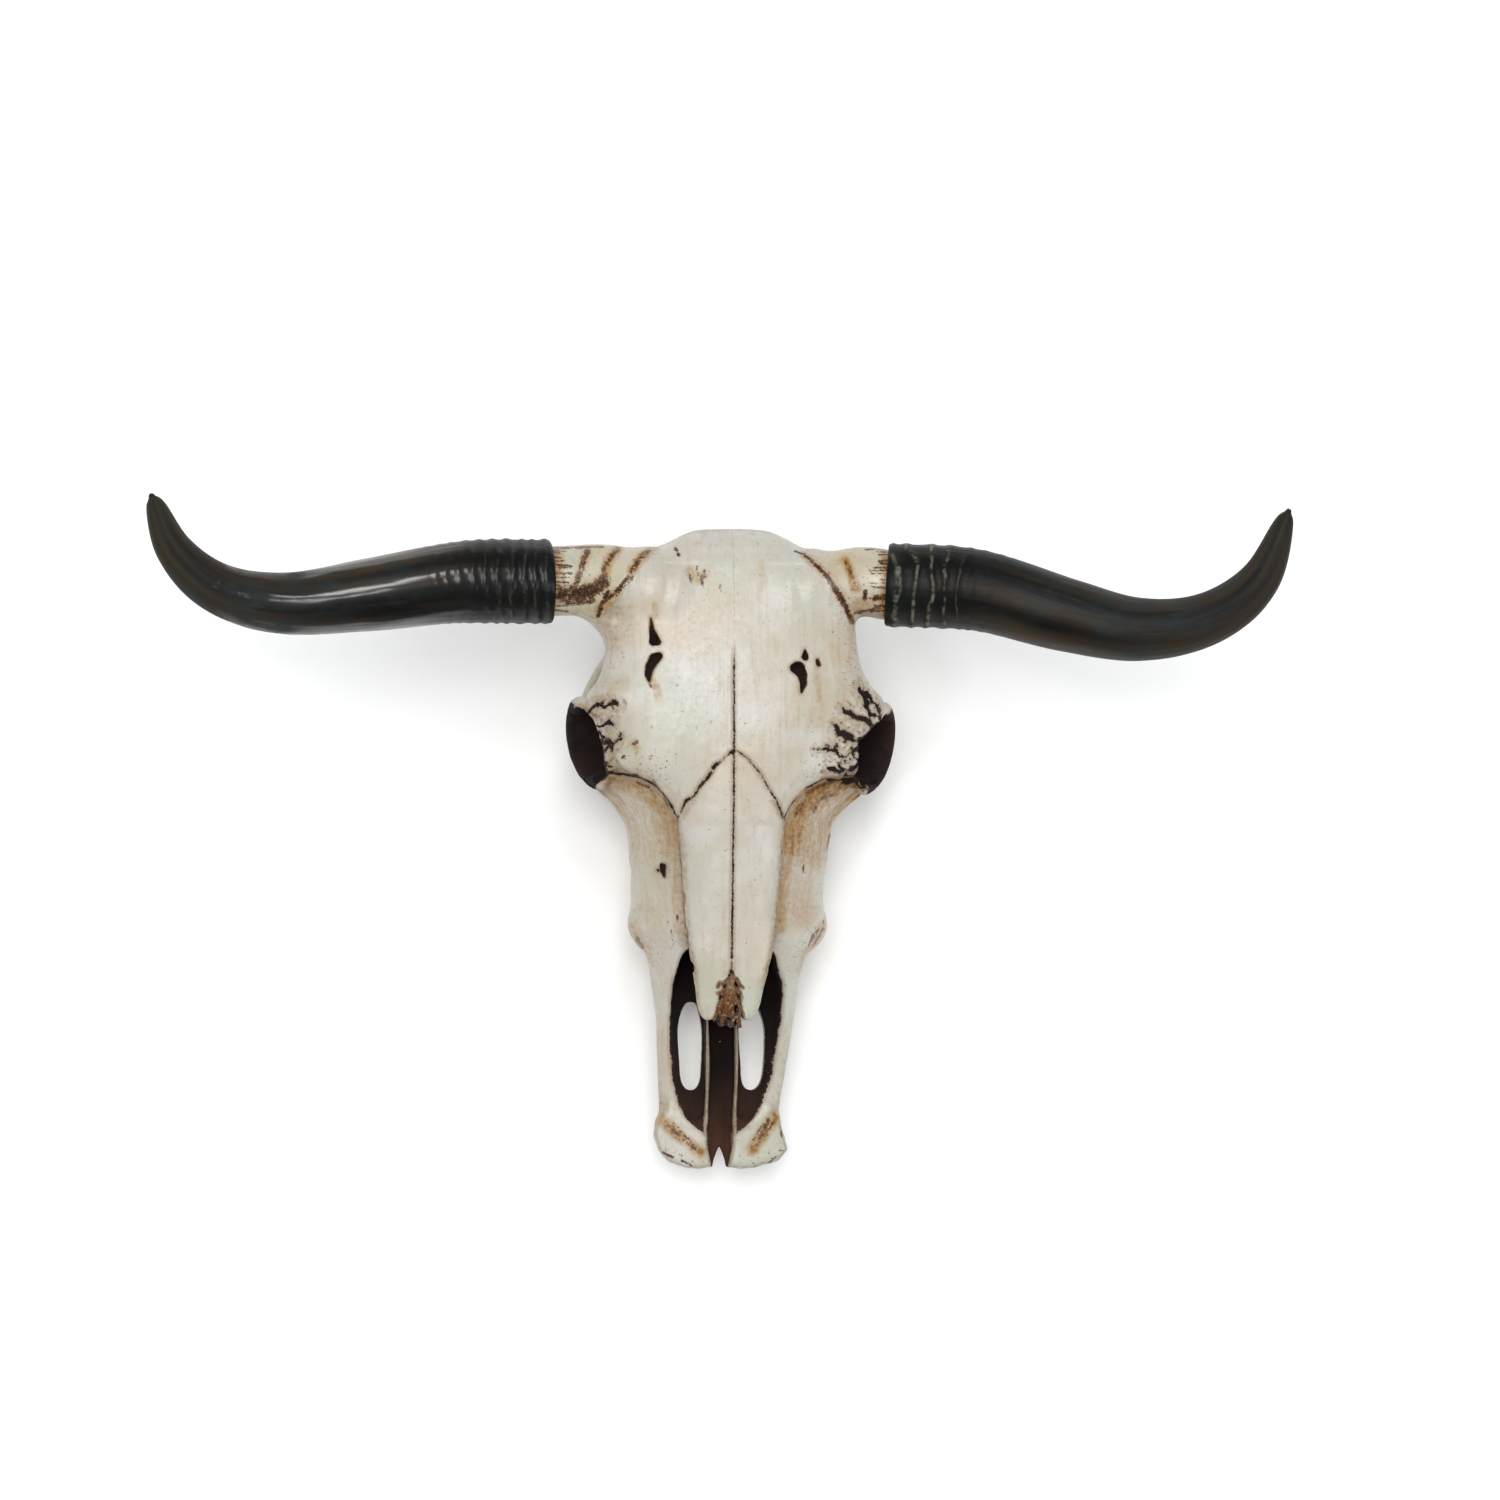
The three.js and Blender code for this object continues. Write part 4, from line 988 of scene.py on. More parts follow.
# Ochre stains, each along a line in plan, with its half width and strength.
STAINS = [
    ([(-122.6, 115.5), (-117, 114.8), (-111.7, 110), (-106, 106)], 3, 1.2),
    ([(-61.9, 192.5), (-61.1, 183)], 2.5, 0.6), ([(-65.7, 136), (-61, 128), (-58.6, 119)], 3, 0.9),
    ([(65, 143), (66.6, 118)], 3, 0.75), ([(69, 149.5), (69.7, 126), (65.8, 102.5)], 7, 0.35),
    ([(51.7, 126), (43.8, 102)], 7, 0.3), ([(88, 150), (84, 120)], 6, 0.3),
    ([(-48, -213.2), (-38, -223.6), (-28, -230.1), (-18.9, -238.2)], 4.4, 1.35),
    ([(41, -210.2), (34.1, -221), (23.6, -236)], 5, 1.4),
    ([(-76, -58), (-64, -76), (-62, -86)], 4, 0.7), ([(78, -56), (66, -78), (62, -92)], 4, 0.9),
    ([(-94, 57), (-70, 51), (-54, 35)], 10, 0.95), ([(-54, 33), (-50, 4)], 9, 0.75),
    ([(-78, 40), (-64, 6)], 17, 0.5),
    ([(104, 52), (78, 50), (58, 36)], 11, 1.4), ([(58, 36), (50, 4)], 9, 1.2),
    ([(86, 38), (64, 4)], 17, 0.85),
    ([(-47, 4), (-41, -60)], 4, 0.5), ([(48, 4), (41, -60)], 4, 0.7),
    ([(-58, -8), (-56, -52)], 9, 0.25), ([(62, -4), (60, -50)], 10, 0.4),
    ([(-34, 218), (-28, 212), (-23, 216)], 4, 0.8), ([(-79, 84), (-75, 80)], 3, 0.7),
    ([(22, 226), (21, 205)], 2.5, 0.35), ([(78, 158), (86, 128)], 5, 0.35),
    ([(-86, 132), (-104, 116)], 6, 0.35),
    # The horn cores, most of all beside the horns and along the bands.
    ([(-141, 238), (-140, 218), (-140, 196)], 6.5, 1.15), ([(-125, 200), (-104, 206)], 7, 0.7),
    ([(-114, 236), (-121, 215), (-125, 202)], 3.6, 0.8),
    ([(-90, 238), (-98, 226), (-104, 208)], 3.8, 1.3),
    ([(-62, 239), (-72, 231), (-80, 218)], 3.8, 1.0), ([(-94, 199), (-104, 190)], 5, 0.9),
    ([(120, 236), (121, 212), (119, 188)], 5.5, 1.3),
    ([(87, 229), (91, 219.5), (95, 206)], 3.4, 1.3),
    ([(56, 234), (72, 217), (83, 201), (94, 183)], 3.4, 0.9), ([(98, 192), (112, 196)], 5, 0.7),
]

# Dark strokes of grime that stayed in scratches and folds.
STROKES = [
    ([(-114.5, 234), (-117, 228.7), (-120.7, 215.3), (-125.3, 202)], 2.6, 0.85),
    ([(-91, 236), (-97.4, 227.3), (-102.1, 217.8), (-104.4, 208.4)], 2.4, 0.78),
    ([(-66, 236), (-71.7, 231.4), (-76.4, 224.3), (-80.3, 218)], 2.4, 0.85),
    ([(-83, 213.5), (-90.2, 204.2), (-97.2, 197.1), (-101.9, 193.9)], 1.4, 1.15),
    ([(-79, 214), (-86, 205), (-92, 199)], 0.9, 1.0),
    ([(-98.7, 201.2), (-102.6, 193.4), (-105.7, 184)], 2.0, 1.1),
    ([(-134, 199.5), (-119, 200.8), (-107.4, 204), (-102.7, 208.8)], 5.4, 1.15),
    ([(-130, 194), (-112, 195.5)], 3.6, 0.95),
    ([(-141, 237), (-124.5, 237), (-102.7, 238)], 1.3, 0.9),
    ([(48.8, 236.6), (55.9, 234.3)], 1.0, 1.0), ([(55.9, 234.3), (71.5, 217.2)], 1.5, 1.05),
    ([(71.5, 217.2), (82.5, 200.8)], 2.3, 1.1), ([(82.5, 200.8), (94.5, 181)], 2.2, 1.1),
    ([(87.5, 227), (91, 219.5), (94.9, 208)], 1.4, 0.65),
    ([(102.7, 203), (102.7, 198.4)], 2.0, 1.1), ([(96, 187.6), (108.5, 190), (118, 192)], 1.2, 1.0),
    ([(104, 238), (119, 239)], 1.2, 0.9),
    ([(-45.2, 238), (-42.8, 231)], 1.6, 0.95), ([(-34.4, 216), (-34, 209)], 1.1, 0.85),
    ([(-28.9, 223), (-28, 216)], 1.0, 0.8), ([(-25, 215), (-24.6, 208)], 1.2, 1.0),
    ([(-23.2, 221), (-22.5, 214)], 1.0, 0.85), ([(-11, 208), (-10.5, 200)], 0.9, 0.6),
    ([(-77.6, 83.6), (-75.3, 85.2)], 1.8, 1.0), ([(-86.2, 73.4), (-84.6, 74.2)], 1.2, 1.1),
    ([(-120, 114), (-111.7, 110), (-106, 106)], 1.4, 0.9),
    ([(-66, 130), (-64, 126)], 1.2, 0.8),
    ([(-44, -217), (-35, -226), (-22, -236)], 1.4, 0.72), ([(-40, -214), (-30, -226)], 0.9, 0.7),
    ([(-33, -222), (-24, -232)], 0.9, 0.75), ([(38, -211), (30, -226)], 1.6, 0.85),
    ([(41, -214), (35, -224)], 1.0, 0.95), ([(33, -215), (24, -229)], 0.9, 0.8),
    ([(84, 56), (74, 53)], 1.6, 0.9), ([(72, 52), (62, 47)], 1.4, 0.8),
    ([(100, 52), (88, 51)], 1.2, 0.75), ([(-76, 55), (-66, 50)], 1.2, 0.7),
    ([(36, -222), (26, -233)], 1.1, 0.6),
    ([(-49, -238), (-41, -242)], 1.1, 0.95), ([(-33, -245), (-25, -249)], 1.1, 0.95),
    ([(26, -251), (35, -250)], 1.6, 1.1), ([(37, -248), (43, -242)], 1.0, 0.9),
    ([(47, -226), (48, -219)], 1.0, 0.9),
    ([(79, -58), (72, -70)], 1.2, 0.9), ([(69, -64), (66, -72)], 0.9, 0.8),
    ([(-71, -66), (-66, -74)], 1.3, 1.0), ([(-46.3, -61), (-44.7, -72)], 0.9, 0.6),
    ([(-41.6, -49.5), (-41.6, -54)], 1.0, 0.9), ([(-48.8, -54.5), (-48.8, -57)], 0.8, 0.7),
    ([(-62.4, 55.5), (-55.6, 46.8), (-51.6, 34)], 1.1, 0.75),
    ([(71.6, 40.5), (76.9, 44.3), (82.5, 45.5)], 1.3, 0.85),
    ([(53.3, 29.3), (58.1, 37.2)], 1.6, 0.8),
    ([(67.6, 31.5), (69.6, 36.5)], 1.2, 0.85), ([(81.1, 4.7), (83.5, 16.8)], 1.0, 0.95),
    ([(68.3, -67.9), (69.3, -64)], 1.8, 1.1), ([(72, -61.5), (73.5, -59.5)], 1.3, 1.0),
    ([(78.8, -54.5), (79, -52.5)], 0.9, 0.9), ([(59.5, -9), (59.5, -14)], 0.9, 0.75),
]
scratches = np.random.RandomState(12)
for collar_x, way, count in ((-141.5, 1, 15), (120.5, -1, 15)):
    for k in range(count):
        place_y = 187 + 50 * (k + scratches.uniform(0, 1)) / count
        reach = scratches.uniform(5, 15)
        stroke_end = (collar_x + way * reach, place_y + scratches.uniform(-1, 1))
        STROKES.append(([(collar_x, place_y), stroke_end], 0.8, scratches.uniform(0.8, 1.15)))


def marks_along(lines, x, y, least=0.0, spread=1.5):
    """How strongly places are marked by lines in plan, each with a half width and a strength. A
    mark fades to nothing at `spread` times its half width."""
    total = np.full(x.shape, least, dtype=np.float32)
    for line, width, strength in lines:
        reach = line_distance(line, x, y) / width
        total = np.maximum(total, strength * np.clip(spread - reach, 0, 1))
    return total


NOTCH = [(0, -98), (3.4, -103), (6.6, -111), (8, -121), (9, -129), (7, -137), (-2, -139),
         (-11, -137), (-13, -129), (-11, -121), (-8.6, -111), (-4.4, -103)]


def crusted(x, y):
    """Where the dried cartilage lies, from 0 to 1, over the tips of the nasal bones."""
    nearest = np.minimum(tapered_distance(CREEPERS, x, y), outline_distance(NOTCH, x, y))
    return np.clip(1 - nearest / 1.2, 0, 1)


# Where the surface is most eroded and speckled: by the orbits, the edges and the cores.
ERODED = [
    ([(-104, 100), (-92, 66), (-60, 66)], 20, 0.9), ([(100, 122), (90, 70), (70, 60)], 24, 1.1),
    ([(88, 190), (92, 150), (104, 118)], 12, 0.9), ([(-92, 190), (-92, 150), (-110, 118)], 10, 0.6),
    ([(-130, 215), (-100, 205)], 22, 0.7), ([(118, 215), (96, 200)], 22, 0.9),
    ([(-70, -60), (-58, -84)], 12, 0.9), ([(70, -60), (58, -90)], 12, 1.1),
    ([(-50, -236), (-20, -250)], 8, 1.0), ([(50, -236), (20, -250)], 8, 1.0),
    ([(-30, 214), (-20, 70)], 26, 0.25), ([(55, 40), (45, -60)], 10, 0.5),
]


def shelter(points, normals):
    """How far each place is closed in by bone round it, from 0 to 1: where umber paint stays, and
    where painted shade goes.
    """
    total = 0
    for reach, weight in ((4, 0.3), (8, 0.35), (15, 0.35)):
        there, _ = trilinear(skull.values, skull.low, points + normals * reach)
        total = total + weight * np.clip(1 - there / reach, 0, 1)
    return total


def marked(mesh, **marks):
    """Gives a mesh one value of each mark for each of its points, for the material to show."""
    for attribute, values in marks.items():
        layer = mesh.attributes.new(attribute, "FLOAT", "POINT")
        layer.data.foreach_set("value", np.asarray(values, dtype=np.float32))


def in_scene(name, data):
    obj = bpy.data.objects.new(name, data)
    bpy.context.scene.collection.objects.link(obj)
    return obj


def painted(points, quads, name):
    """Adds the relief of grown bone to a piece's points, and makes its mesh with its stains."""
    depth, slope = trilinear(skull.values, skull.low, points)
    normals = slope / np.maximum(np.linalg.norm(slope, axis=1, keepdims=True), 1e-3)
    x, y, z = points.T
    upper = np.clip((normals[:, 2] + 0.1) / 0.3, 0, 1)
    on_face = z > 100
    by_brow = z > 95
    cracks = np.where(on_face, crack_distance(x, y), CLEAR)
    sutures = np.where(on_face, sutures_distance(x, y), CLEAR)
    brow = np.where(by_brow, brow_distance(x, y), CLEAR)
    offset = relief(points) - np.where(by_brow, under_brow(x, y), 0) * np.clip(upper * 2, 0, 1)
    offset = offset - upper * groove(np.maximum(sutures + 0.9, 0), 1.5, 0.9)
    offset = offset - upper * 1.6 * np.clip(0.6 - cracks, 0, 1.6) / 1.6
    near = np.exp(-((depth / 4) ** 2))
    collar = np.where(x < 0, -HORN_LINES["left"][0][0], HORN_LINES["right"][0][0])
    offset = offset * near * np.clip((collar - 1 - np.abs(x)) / 6, 0, 1)
    placed = points + normals * offset[:, None]

    # Dark marks: cracks, open seams, pits, the hollows, and the brow line, which is partly a
    # painted shadow under the brow.
    marks = np.minimum(np.minimum(cracks, sutures), brow - 0.75)
    marks = np.minimum(marks, np.where(on_face, tapered_distance(PITS, x, y) + 0.3, CLEAR))
    marks = np.minimum(marks, hollows_distance(x, y, z))
    crust = crusted(x, y) * (z > 134)
    marks = np.where(crust > 0, np.maximum(marks, CLEAR * crust), marks)
    tooth = np.clip((46 - z) / 3, 0, 1) * (y > DIASTEMA_Y - 3) * (y < 26) * (np.abs(x) > 34)

    mesh = bpy.data.meshes.new(name)
    faces = outwards_facing(placed, quads)
    mesh.from_pydata((placed * MM + SKULL_ORIGIN).tolist(), [], faces.tolist())
    mesh.shade_smooth()
    mesh.set_sharp_from_angle(angle=math.radians(50))
    # The brown line at the seam beside the nasal bones is also painted shade at the foot of their
    # edge.
    from_nasals = np.minimum(outline_distance(NASAL_EDGE, np.abs(x), y), CLEAR)
    seam_wash = np.where(x < 0, 0.36, 0.5) * np.exp(-((from_nasals / 3) ** 2))
    seam_wash = seam_wash * (z > 110) * (y < 40)
    # Painted shade: the more a face leans away from the top, the darker it is painted.
    painted_side_shade = 0.24 * np.clip(1 - normals[:, 2], 0, 1)
    marked(
        mesh,
        soot=np.clip(marks, -6, CLEAR),
        wash=np.clip(shelter(placed, normals) + painted_side_shade + seam_wash, 0, 1),
        ochre=marks_along(STAINS, x, y) * upper,
        stroke=marks_along(STROKES, x, y) * upper,
        crust=crust,
        tooth=tooth,
        grit=marks_along(ERODED, x, y, least=0.12, spread=1.3) * upper)
    return in_scene(name, mesh)


# Materials are built from node patterns. A pattern's scale is how many of its lumps lie in a metre.
def srgb(code):
    """A colour written as sRGB hex, in linear light."""
    parts = [int(code[i : i + 2], 16) / 255 for i in (1, 3, 5)]
    return (*(c / 12.92 if c <= 0.04045 else ((c + 0.055) / 1.055) ** 2.4 for c in parts), 1)


def add(tree, kind, inputs=None, output=None, **settings):
    """Adds a node with its settings. Each input is a value or another node's output socket."""
    made = tree.nodes.new(kind)
    for name, value in settings.items():
        setattr(made, name, value)
    for key, value in (inputs or {}).items():
        open_sockets = [s for s in made.inputs if s.enabled]
        socket = next((s for s in open_sockets if s.name == key), None) or made.inputs[key]
        if isinstance(value, bpy.types.NodeSocket):
            tree.links.new(value, socket)
        else:
            socket.default_value = value
    given = [s for s in made.outputs if s.enabled and output in (None, s.name)]
    return given[0] if given else made


def new_material(name):
    material = bpy.data.materials.new(name)
    material.use_nodes = True
    tree = material.node_tree
    tree.nodes.clear()
    return material, tree


def coats(tree, colour, layers):
    """Colours laid over a first one. Each shows more as its pattern's value goes from `start` to
    `full`, and hides at most a share `most` of what lies under it."""
    for value, start, full, most, tint in layers:
        shows = add(tree, "ShaderNodeMapRange",
                    {"Value": value, "From Min": start, "From Max": full, "To Max": most})
        tint = srgb(tint) if isinstance(tint, str) else tint
        colour = add(tree, "ShaderNodeMix", {"Factor": shows, "A": colour, "B": tint},
                     data_type="RGBA")
    return colour


def weathered_bone(name, pale, warm):
    """Cream bone with a soft gloss on its high places, stained and darkened with painted shade
    where the attributes say.
    """
    material, tree = new_material(name)
    place = add(tree, "ShaderNodeTexCoord", output="Object")
    drawn = add(tree, "ShaderNodeMapping", {"Vector": place, "Scale": (1, 0.09, 1)})
    grit, wash, ochre, stroke, crust, tooth, soot = (
        add(tree, "ShaderNodeAttribute", output="Fac", attribute_name=attribute)
        for attribute in ("grit", "wash", "ochre", "stroke", "crust", "tooth", "soot"))
    tints, broad, streaks, fine, pores, ragged = (
        add(tree, "ShaderNodeTexNoise",
            {"Vector": vector, "Scale": scale, "Detail": detail, "Roughness": rough})
        for vector, scale, detail, rough in (
            (place, 11, 2, 0.5),  # tints as broad as a hand, 90 mm
            (place, 24, 4, 0.55),  # clouds of 40 mm
            (drawn, 210, 5, 0.62),  # streaks along the skull, 5 mm wide
            (place, 260, 5, 0.6),  # grain of 4 mm
            (place, 430, 4, 0.65),  # pores 2 mm apart
            (place, 700, 3, 0.6)))  # frays of 1.4 mm at the edges of stains

    lifted = add(tree, "ShaderNodeMath", {0: grit, 1: 0.11, 2: pores}, operation="MULTIPLY_ADD")
    uneven = add(tree, "ShaderNodeMapRange",
                 {"Value": fine, "From Min": 0.3, "From Max": 0.7, "To Min": 0.55, "To Max": 1.35})
    washed = add(tree, "ShaderNodeMath", {0: wash, 1: uneven}, operation="MULTIPLY")
    broken = add(tree, "ShaderNodeMath", {0: fine, 1: streaks}, operation="ADD")
    patchy = add(tree, "ShaderNodeMapRange",
                 {"Value": broken, "From Min": 0.78, "From Max": 1.16, "To Min": 0.4})
    stained = add(tree, "ShaderNodeMath", {0: ochre, 1: patchy}, operation="MULTIPLY")
    torn = add(tree, "ShaderNodeMath", {0: ragged, 1: 2.1, 2: stroke}, operation="MULTIPLY_ADD")
    torn = add(tree, "ShaderNodeMath", {0: fine, 1: 1.9, 2: torn}, operation="MULTIPLY_ADD")
    frayed = add(tree, "ShaderNodeMath", {0: ragged, 1: -0.5}, operation="ADD")
    edge = add(tree, "ShaderNodeMath", {0: frayed, 1: 3.2, 2: soot}, operation="MULTIPLY_ADD")
    inked_and_shaded = add(tree, "ShaderNodeMapRange", {"Value": edge, "From Min": 0.45, "From Max": -0.15})
    forward = add(tree, "ShaderNodeSeparateXYZ", {"Vector": place}, output="Y")
    reddened = add(tree, "ShaderNodeMapRange",
                   {"Value": forward, "From Min": -0.19, "From Max": -0.245, "To Max": 0.75})
    reddened = add(tree, "ShaderNodeMath", {0: reddened, 1: streaks}, operation="MULTIPLY")

    cartilage = coats(tree, srgb("#2c1608"), (
        (streaks, 0, 1, 1, "#7c4f24"),  # rusty brown
        (pores, 0.57, 0.62, 0.75, "#a8906a"),  # pale dead ends
        (wash, 0.22, 0.55, 0.92, "#170b05"),  # painted shade in the gaps between its lumps
    ))
    enamel = coats(tree, srgb("#d9c79c"), (
        (broad, 0.36, 0.66, 1, "#a98a58"),
        (wash, 0.15, 0.5, 0.8, "#4a3220"),  # painted shade between the lobes and down their sides
    ))
    # Near-black umber for hollows, splits and seams, darker than the stain alone: painted shade for
    # the nose channel, which is built shallower than the real one.
    umber = coats(tree, srgb("#0f0705"), (
        (broad, 0.36, 0.66, 1, "#28120a"),
        (reddened, 0, 1, 1, "#5f3418"),  # redder at the front of the nose
    ))
    colour = coats(tree, srgb(pale), (
        (broad, 0.36, 0.66, 1, warm),
        (streaks, 0.52, 0.74, 0.42, "#a08a68"),
        (tints, 0.5, 0.66, 0.5, "#a9ad9c"),  # greenish
        (tints, 0.48, 0.32, 0.45, "#bda893"),  # rosy
        (lifted, 0.69, 0.735, 0.8, "#5b4227"),  # flecks of dirt, thick where the bone is eroded
        (washed, 0.12, 0.95, 1, "#76541f"),  # umber in sheltered places, partly painted shade, and painted shade on sides that lean away from the top
        (stained, 0, 1 / 0.86, 1, "#966d2b"),  # golden ochre, cloudy at its edges
        (stained, 0.8, 1.4, 0.5, "#5a3a14"),
        (torn, 2.42, 2.72, 0.86, "#5c3617"),  # strokes of grime, brown where they fray
        (torn, 2.8, 3.2, 0.9, "#2a160b"),
        (crust, 0, 1, 1, cartilage),
        (tooth, 0, 1, 1, enamel),
        (edge, 3.2, 0.3, 0.5, "#7c5a35"),  # a brown edge to the dark of hollows and splits
        (inked_and_shaded, 0, 1, 1, umber),
    ))

    gloss = add(tree, "ShaderNodeMapRange",
                {"Value": fine, "From Min": 0.3, "From Max": 0.7, "To Min": 0.26, "To Max": 0.44})
    gloss = add(tree, "ShaderNodeMix", {"Factor": inked_and_shaded, "A": gloss, "B": 0.95})
    height = add(tree, "ShaderNodeMath", {0: fine, 1: 0.6, 2: streaks}, operation="MULTIPLY_ADD")
    bump = add(tree, "ShaderNodeBump", {"Height": height, "Strength": 0.35, "Distance": 0.0006})
    surface = add(tree, "ShaderNodeBsdfPrincipled",
                  {"Base Color": colour, "Roughness": gloss, "Normal": bump, "IOR": 1.5})
    add(tree, "ShaderNodeOutputMaterial", {"Surface": surface})
    return material


# Weathered bone: a soft gloss on its high places draws the forms of the face, and matt umber
# in hollows and splits, partly paint and partly painted shade, gives them depth. The horn cores
# are a little yellower, and the bone inside the nose is stained brown all over.
BONE = weathered_bone("weathered bone, umber wash", "#bcb9b0", "#b0a896")
CORE = weathered_bone("horn core bone, umber wash", "#bab5a8", "#b0a486")
CRUST = weathered_bone("stained nose bone", "#6f4a26", "#3d2412")
FINISHES = {"horn_core": (CORE, "horn_core"), "vomer": (CRUST, "stained_bone")}

taken = np.full(skull.values.shape, -FAR_OUT, dtype=np.float32)
for bone in seams:
    for side in ("",) if bone in UNPAIRED else ("right", "left"):
        node_name = f"{bone}_{side}" if side else bone
        sign = {"": 0, "right": 1, "left": -1}[side]
        within = inside(side=sign, **outlines_of(bone, side))
        limits = np.maximum(taken, within + SEAM_GAP / 2)
        piece_points, piece_quads = skin(skull.values, limits)
        piece = painted(piece_points, piece_quads, f"{node_name}_bone")
        finish, slot_name = FINISHES.get(bone, (BONE, "bone"))
        piece.data.materials.append(finish)
        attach(piece, "root")
        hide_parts(node_name)
        taken = np.maximum(taken, SEAM_GAP / 2 - within)

# ---- Horn sheaths -------------------------------------------------------------------------------
# Each horn is a hollow-rooted sheath of keratin that grew out ring by ring over its core, and
# slides off it. It is dense and near black, and polished by handling.
COLLAR_RADIUS = 32.5
HORN_RADIUS = curve([(0, 32.5), (0.12, 32.5), (0.25, 31), (0.4, 28.5), (0.55, 25), (0.7, 21),
                     (0.8, 17.8), (0.88, 14.2), (0.93, 11.4), (0.965, 8.9), (0.988, 6.2), (1, 2.6)])
STATIONS = 260
SIDES = 112


def horn_sheath(line, name, crease_angle):
    """A tapering closed sheath along its line, with the socket for the core in its root. A crease
    runs along the side of it that faces the muzzle."""
    path = path_through(line, STATIONS)
    tangents = np.gradient(path, axis=0)
    tangents /= np.linalg.norm(tangents, axis=1, keepdims=True)
    root = path[0]
    way = np.subtract(line[1], line[0])
    way = way / np.linalg.norm(way)
    side = np.cross(way, (0, 0, 1.0))
    run = np.concatenate([[0], np.cumsum(np.linalg.norm(np.diff(path, axis=0), axis=1))])
    angles = np.linspace(0, 2 * math.pi, SIDES, endpoint=False)

    rings, along, creases = [], [], []
    bend = np.angle(np.exp(1j * (angles - crease_angle)))

    def ring(centre, tangent, radius, run_here):
        nonlocal side
        depth = min(max((run_here - 70) / 60, 0), 1) * min(max((250 - run_here) / 110, 0), 1)
        # How deep the crease is here, kept for the material to paint shade into it.
        creases.append(depth * np.exp(-((bend / 0.2) ** 2)))
        lip = depth * np.exp(-(((bend - 0.5) / 0.3) ** 2))
        radius = radius * (1 - 0.05 * creases[-1] + 0.02 * lip)
        side = side - tangent * (side @ tangent)
        side = side / np.linalg.norm(side)
        other = np.cross(tangent, side)
        spokes = np.cos(angles)[:, None] * side + np.sin(angles)[:, None] * other
        rings.append(centre + radius[:, None] * spokes)
        along.append(np.full(SIDES, run_here))

    inner = CORE_RADIUS + SOCKET_GAP
    floor_centre = root + SOCKET_DEPTH * way
    for radius in (inner * 0.35, inner * 0.7, inner):
        ring(floor_centre, way, radius, 0)
    for depth in (10, 6, 3, 1):
        ring(root + depth * way, way, inner, 0)
    ring(root, way, inner + 0.5, 0)
    ring(root, way, inner + 2, 0)
    for back, inset in ((0.0, 2.0), (0.5, 1.0), (1.3, 0.3)):
        ring(root + back * way, way, COLLAR_RADIUS - inset, back)
    for station in range(3, STATIONS):
        share = run[station] / run[-1]
        ring(path[station], tangents[station], float(HORN_RADIUS(share)), run[station])
    tip_radius = float(HORN_RADIUS(1.0))
    for turn in (25, 50, 72):
        reach = tip_radius * math.sin(math.radians(turn))
        ring(path[-1] + reach * tangents[-1], tangents[-1],
             tip_radius * math.cos(math.radians(turn)), run[-1] + reach)
    tip = path[-1] + tip_radius * tangents[-1]
    points = np.vstack([floor_centre[None], *rings, tip[None]])
    runs = np.concatenate([[0], *along, [run[-1] + tip_radius]])
    around = np.concatenate([[0], np.tile(angles, len(rings)), [0]])

    faces = []
    for k in range(SIDES):
        after = (k + 1) % SIDES
        faces.append((0, 1 + after, 1 + k))
        last = 1 + (len(rings) - 1) * SIDES
        faces.append((last + k, last + after, len(points) - 1))
        for r in range(len(rings) - 1):
            a, b = 1 + r * SIDES, 1 + (r + 1) * SIDES
            faces.append((a + k, a + after, b + after, b + k))
    mesh = bpy.data.meshes.new(name)
    mesh.from_pydata((points * MM + SKULL_ORIGIN).tolist(), [], faces)
    mesh.shade_smooth()
    marked(mesh, along=runs, crease=np.concatenate([[0], *creases, [0]]), skin=runs > 0.2)
    # Patterns are laid on a straight cylinder of this radius, so that they follow the bends.
    plain_radius = 30
    unrolled = np.column_stack(
        [plain_radius * np.cos(around), plain_radius * np.sin(around), runs]) * MM
    layer = mesh.attributes.new("grain", "FLOAT_VECTOR", "POINT")
    layer.data.foreach_set("vector", unrolled.astype(np.float32).ravel())
    return in_scene(name, mesh)


# Growth rings stand round the root, close together and uneven, and fade out along the horn.
rings_tree = bpy.data.node_groups.new("growth rings", "GeometryNodeTree")
rings_tree.interface.new_socket("Geometry", in_out="INPUT", socket_type="NodeSocketGeometry")
ring_inputs = {}
for name, kind, value in (
    ("Ring Spacing", "NodeSocketFloat", 9.5),
    ("Ring Height", "NodeSocketFloat", 1.15),
    ("Dent Depth", "NodeSocketFloat", 2.2),
    ("Ringed Length", "NodeSocketFloat", 104.0),
    ("Waviness", "NodeSocketFloat", 2.2),
    ("Seed", "NodeSocketFloat", 3.0),
    ("Finish", "NodeSocketMaterial", None),
):
    socket = rings_tree.interface.new_socket(name, in_out="INPUT", socket_type=kind)
    if value is not None:
        socket.default_value = value
    ring_inputs[name] = socket.identifier
rings_tree.interface.new_socket("Geometry", in_out="OUTPUT", socket_type="NodeSocketGeometry")
group_in = rings_tree.nodes.new("NodeGroupInput").outputs
along_horn, on_skin, unrolled = (
    add(rings_tree, "GeometryNodeInputNamedAttribute", {"Name": attribute},
        output="Attribute", data_type=kind)
    for attribute, kind in (("along", "FLOAT"), ("skin", "FLOAT"), ("grain", "FLOAT_VECTOR")))
drawn_out = add(rings_tree, "ShaderNodeVectorMath", {0: unrolled, 1: (1.0, 1.0, 0.3)},
                output="Vector", operation="MULTIPLY")
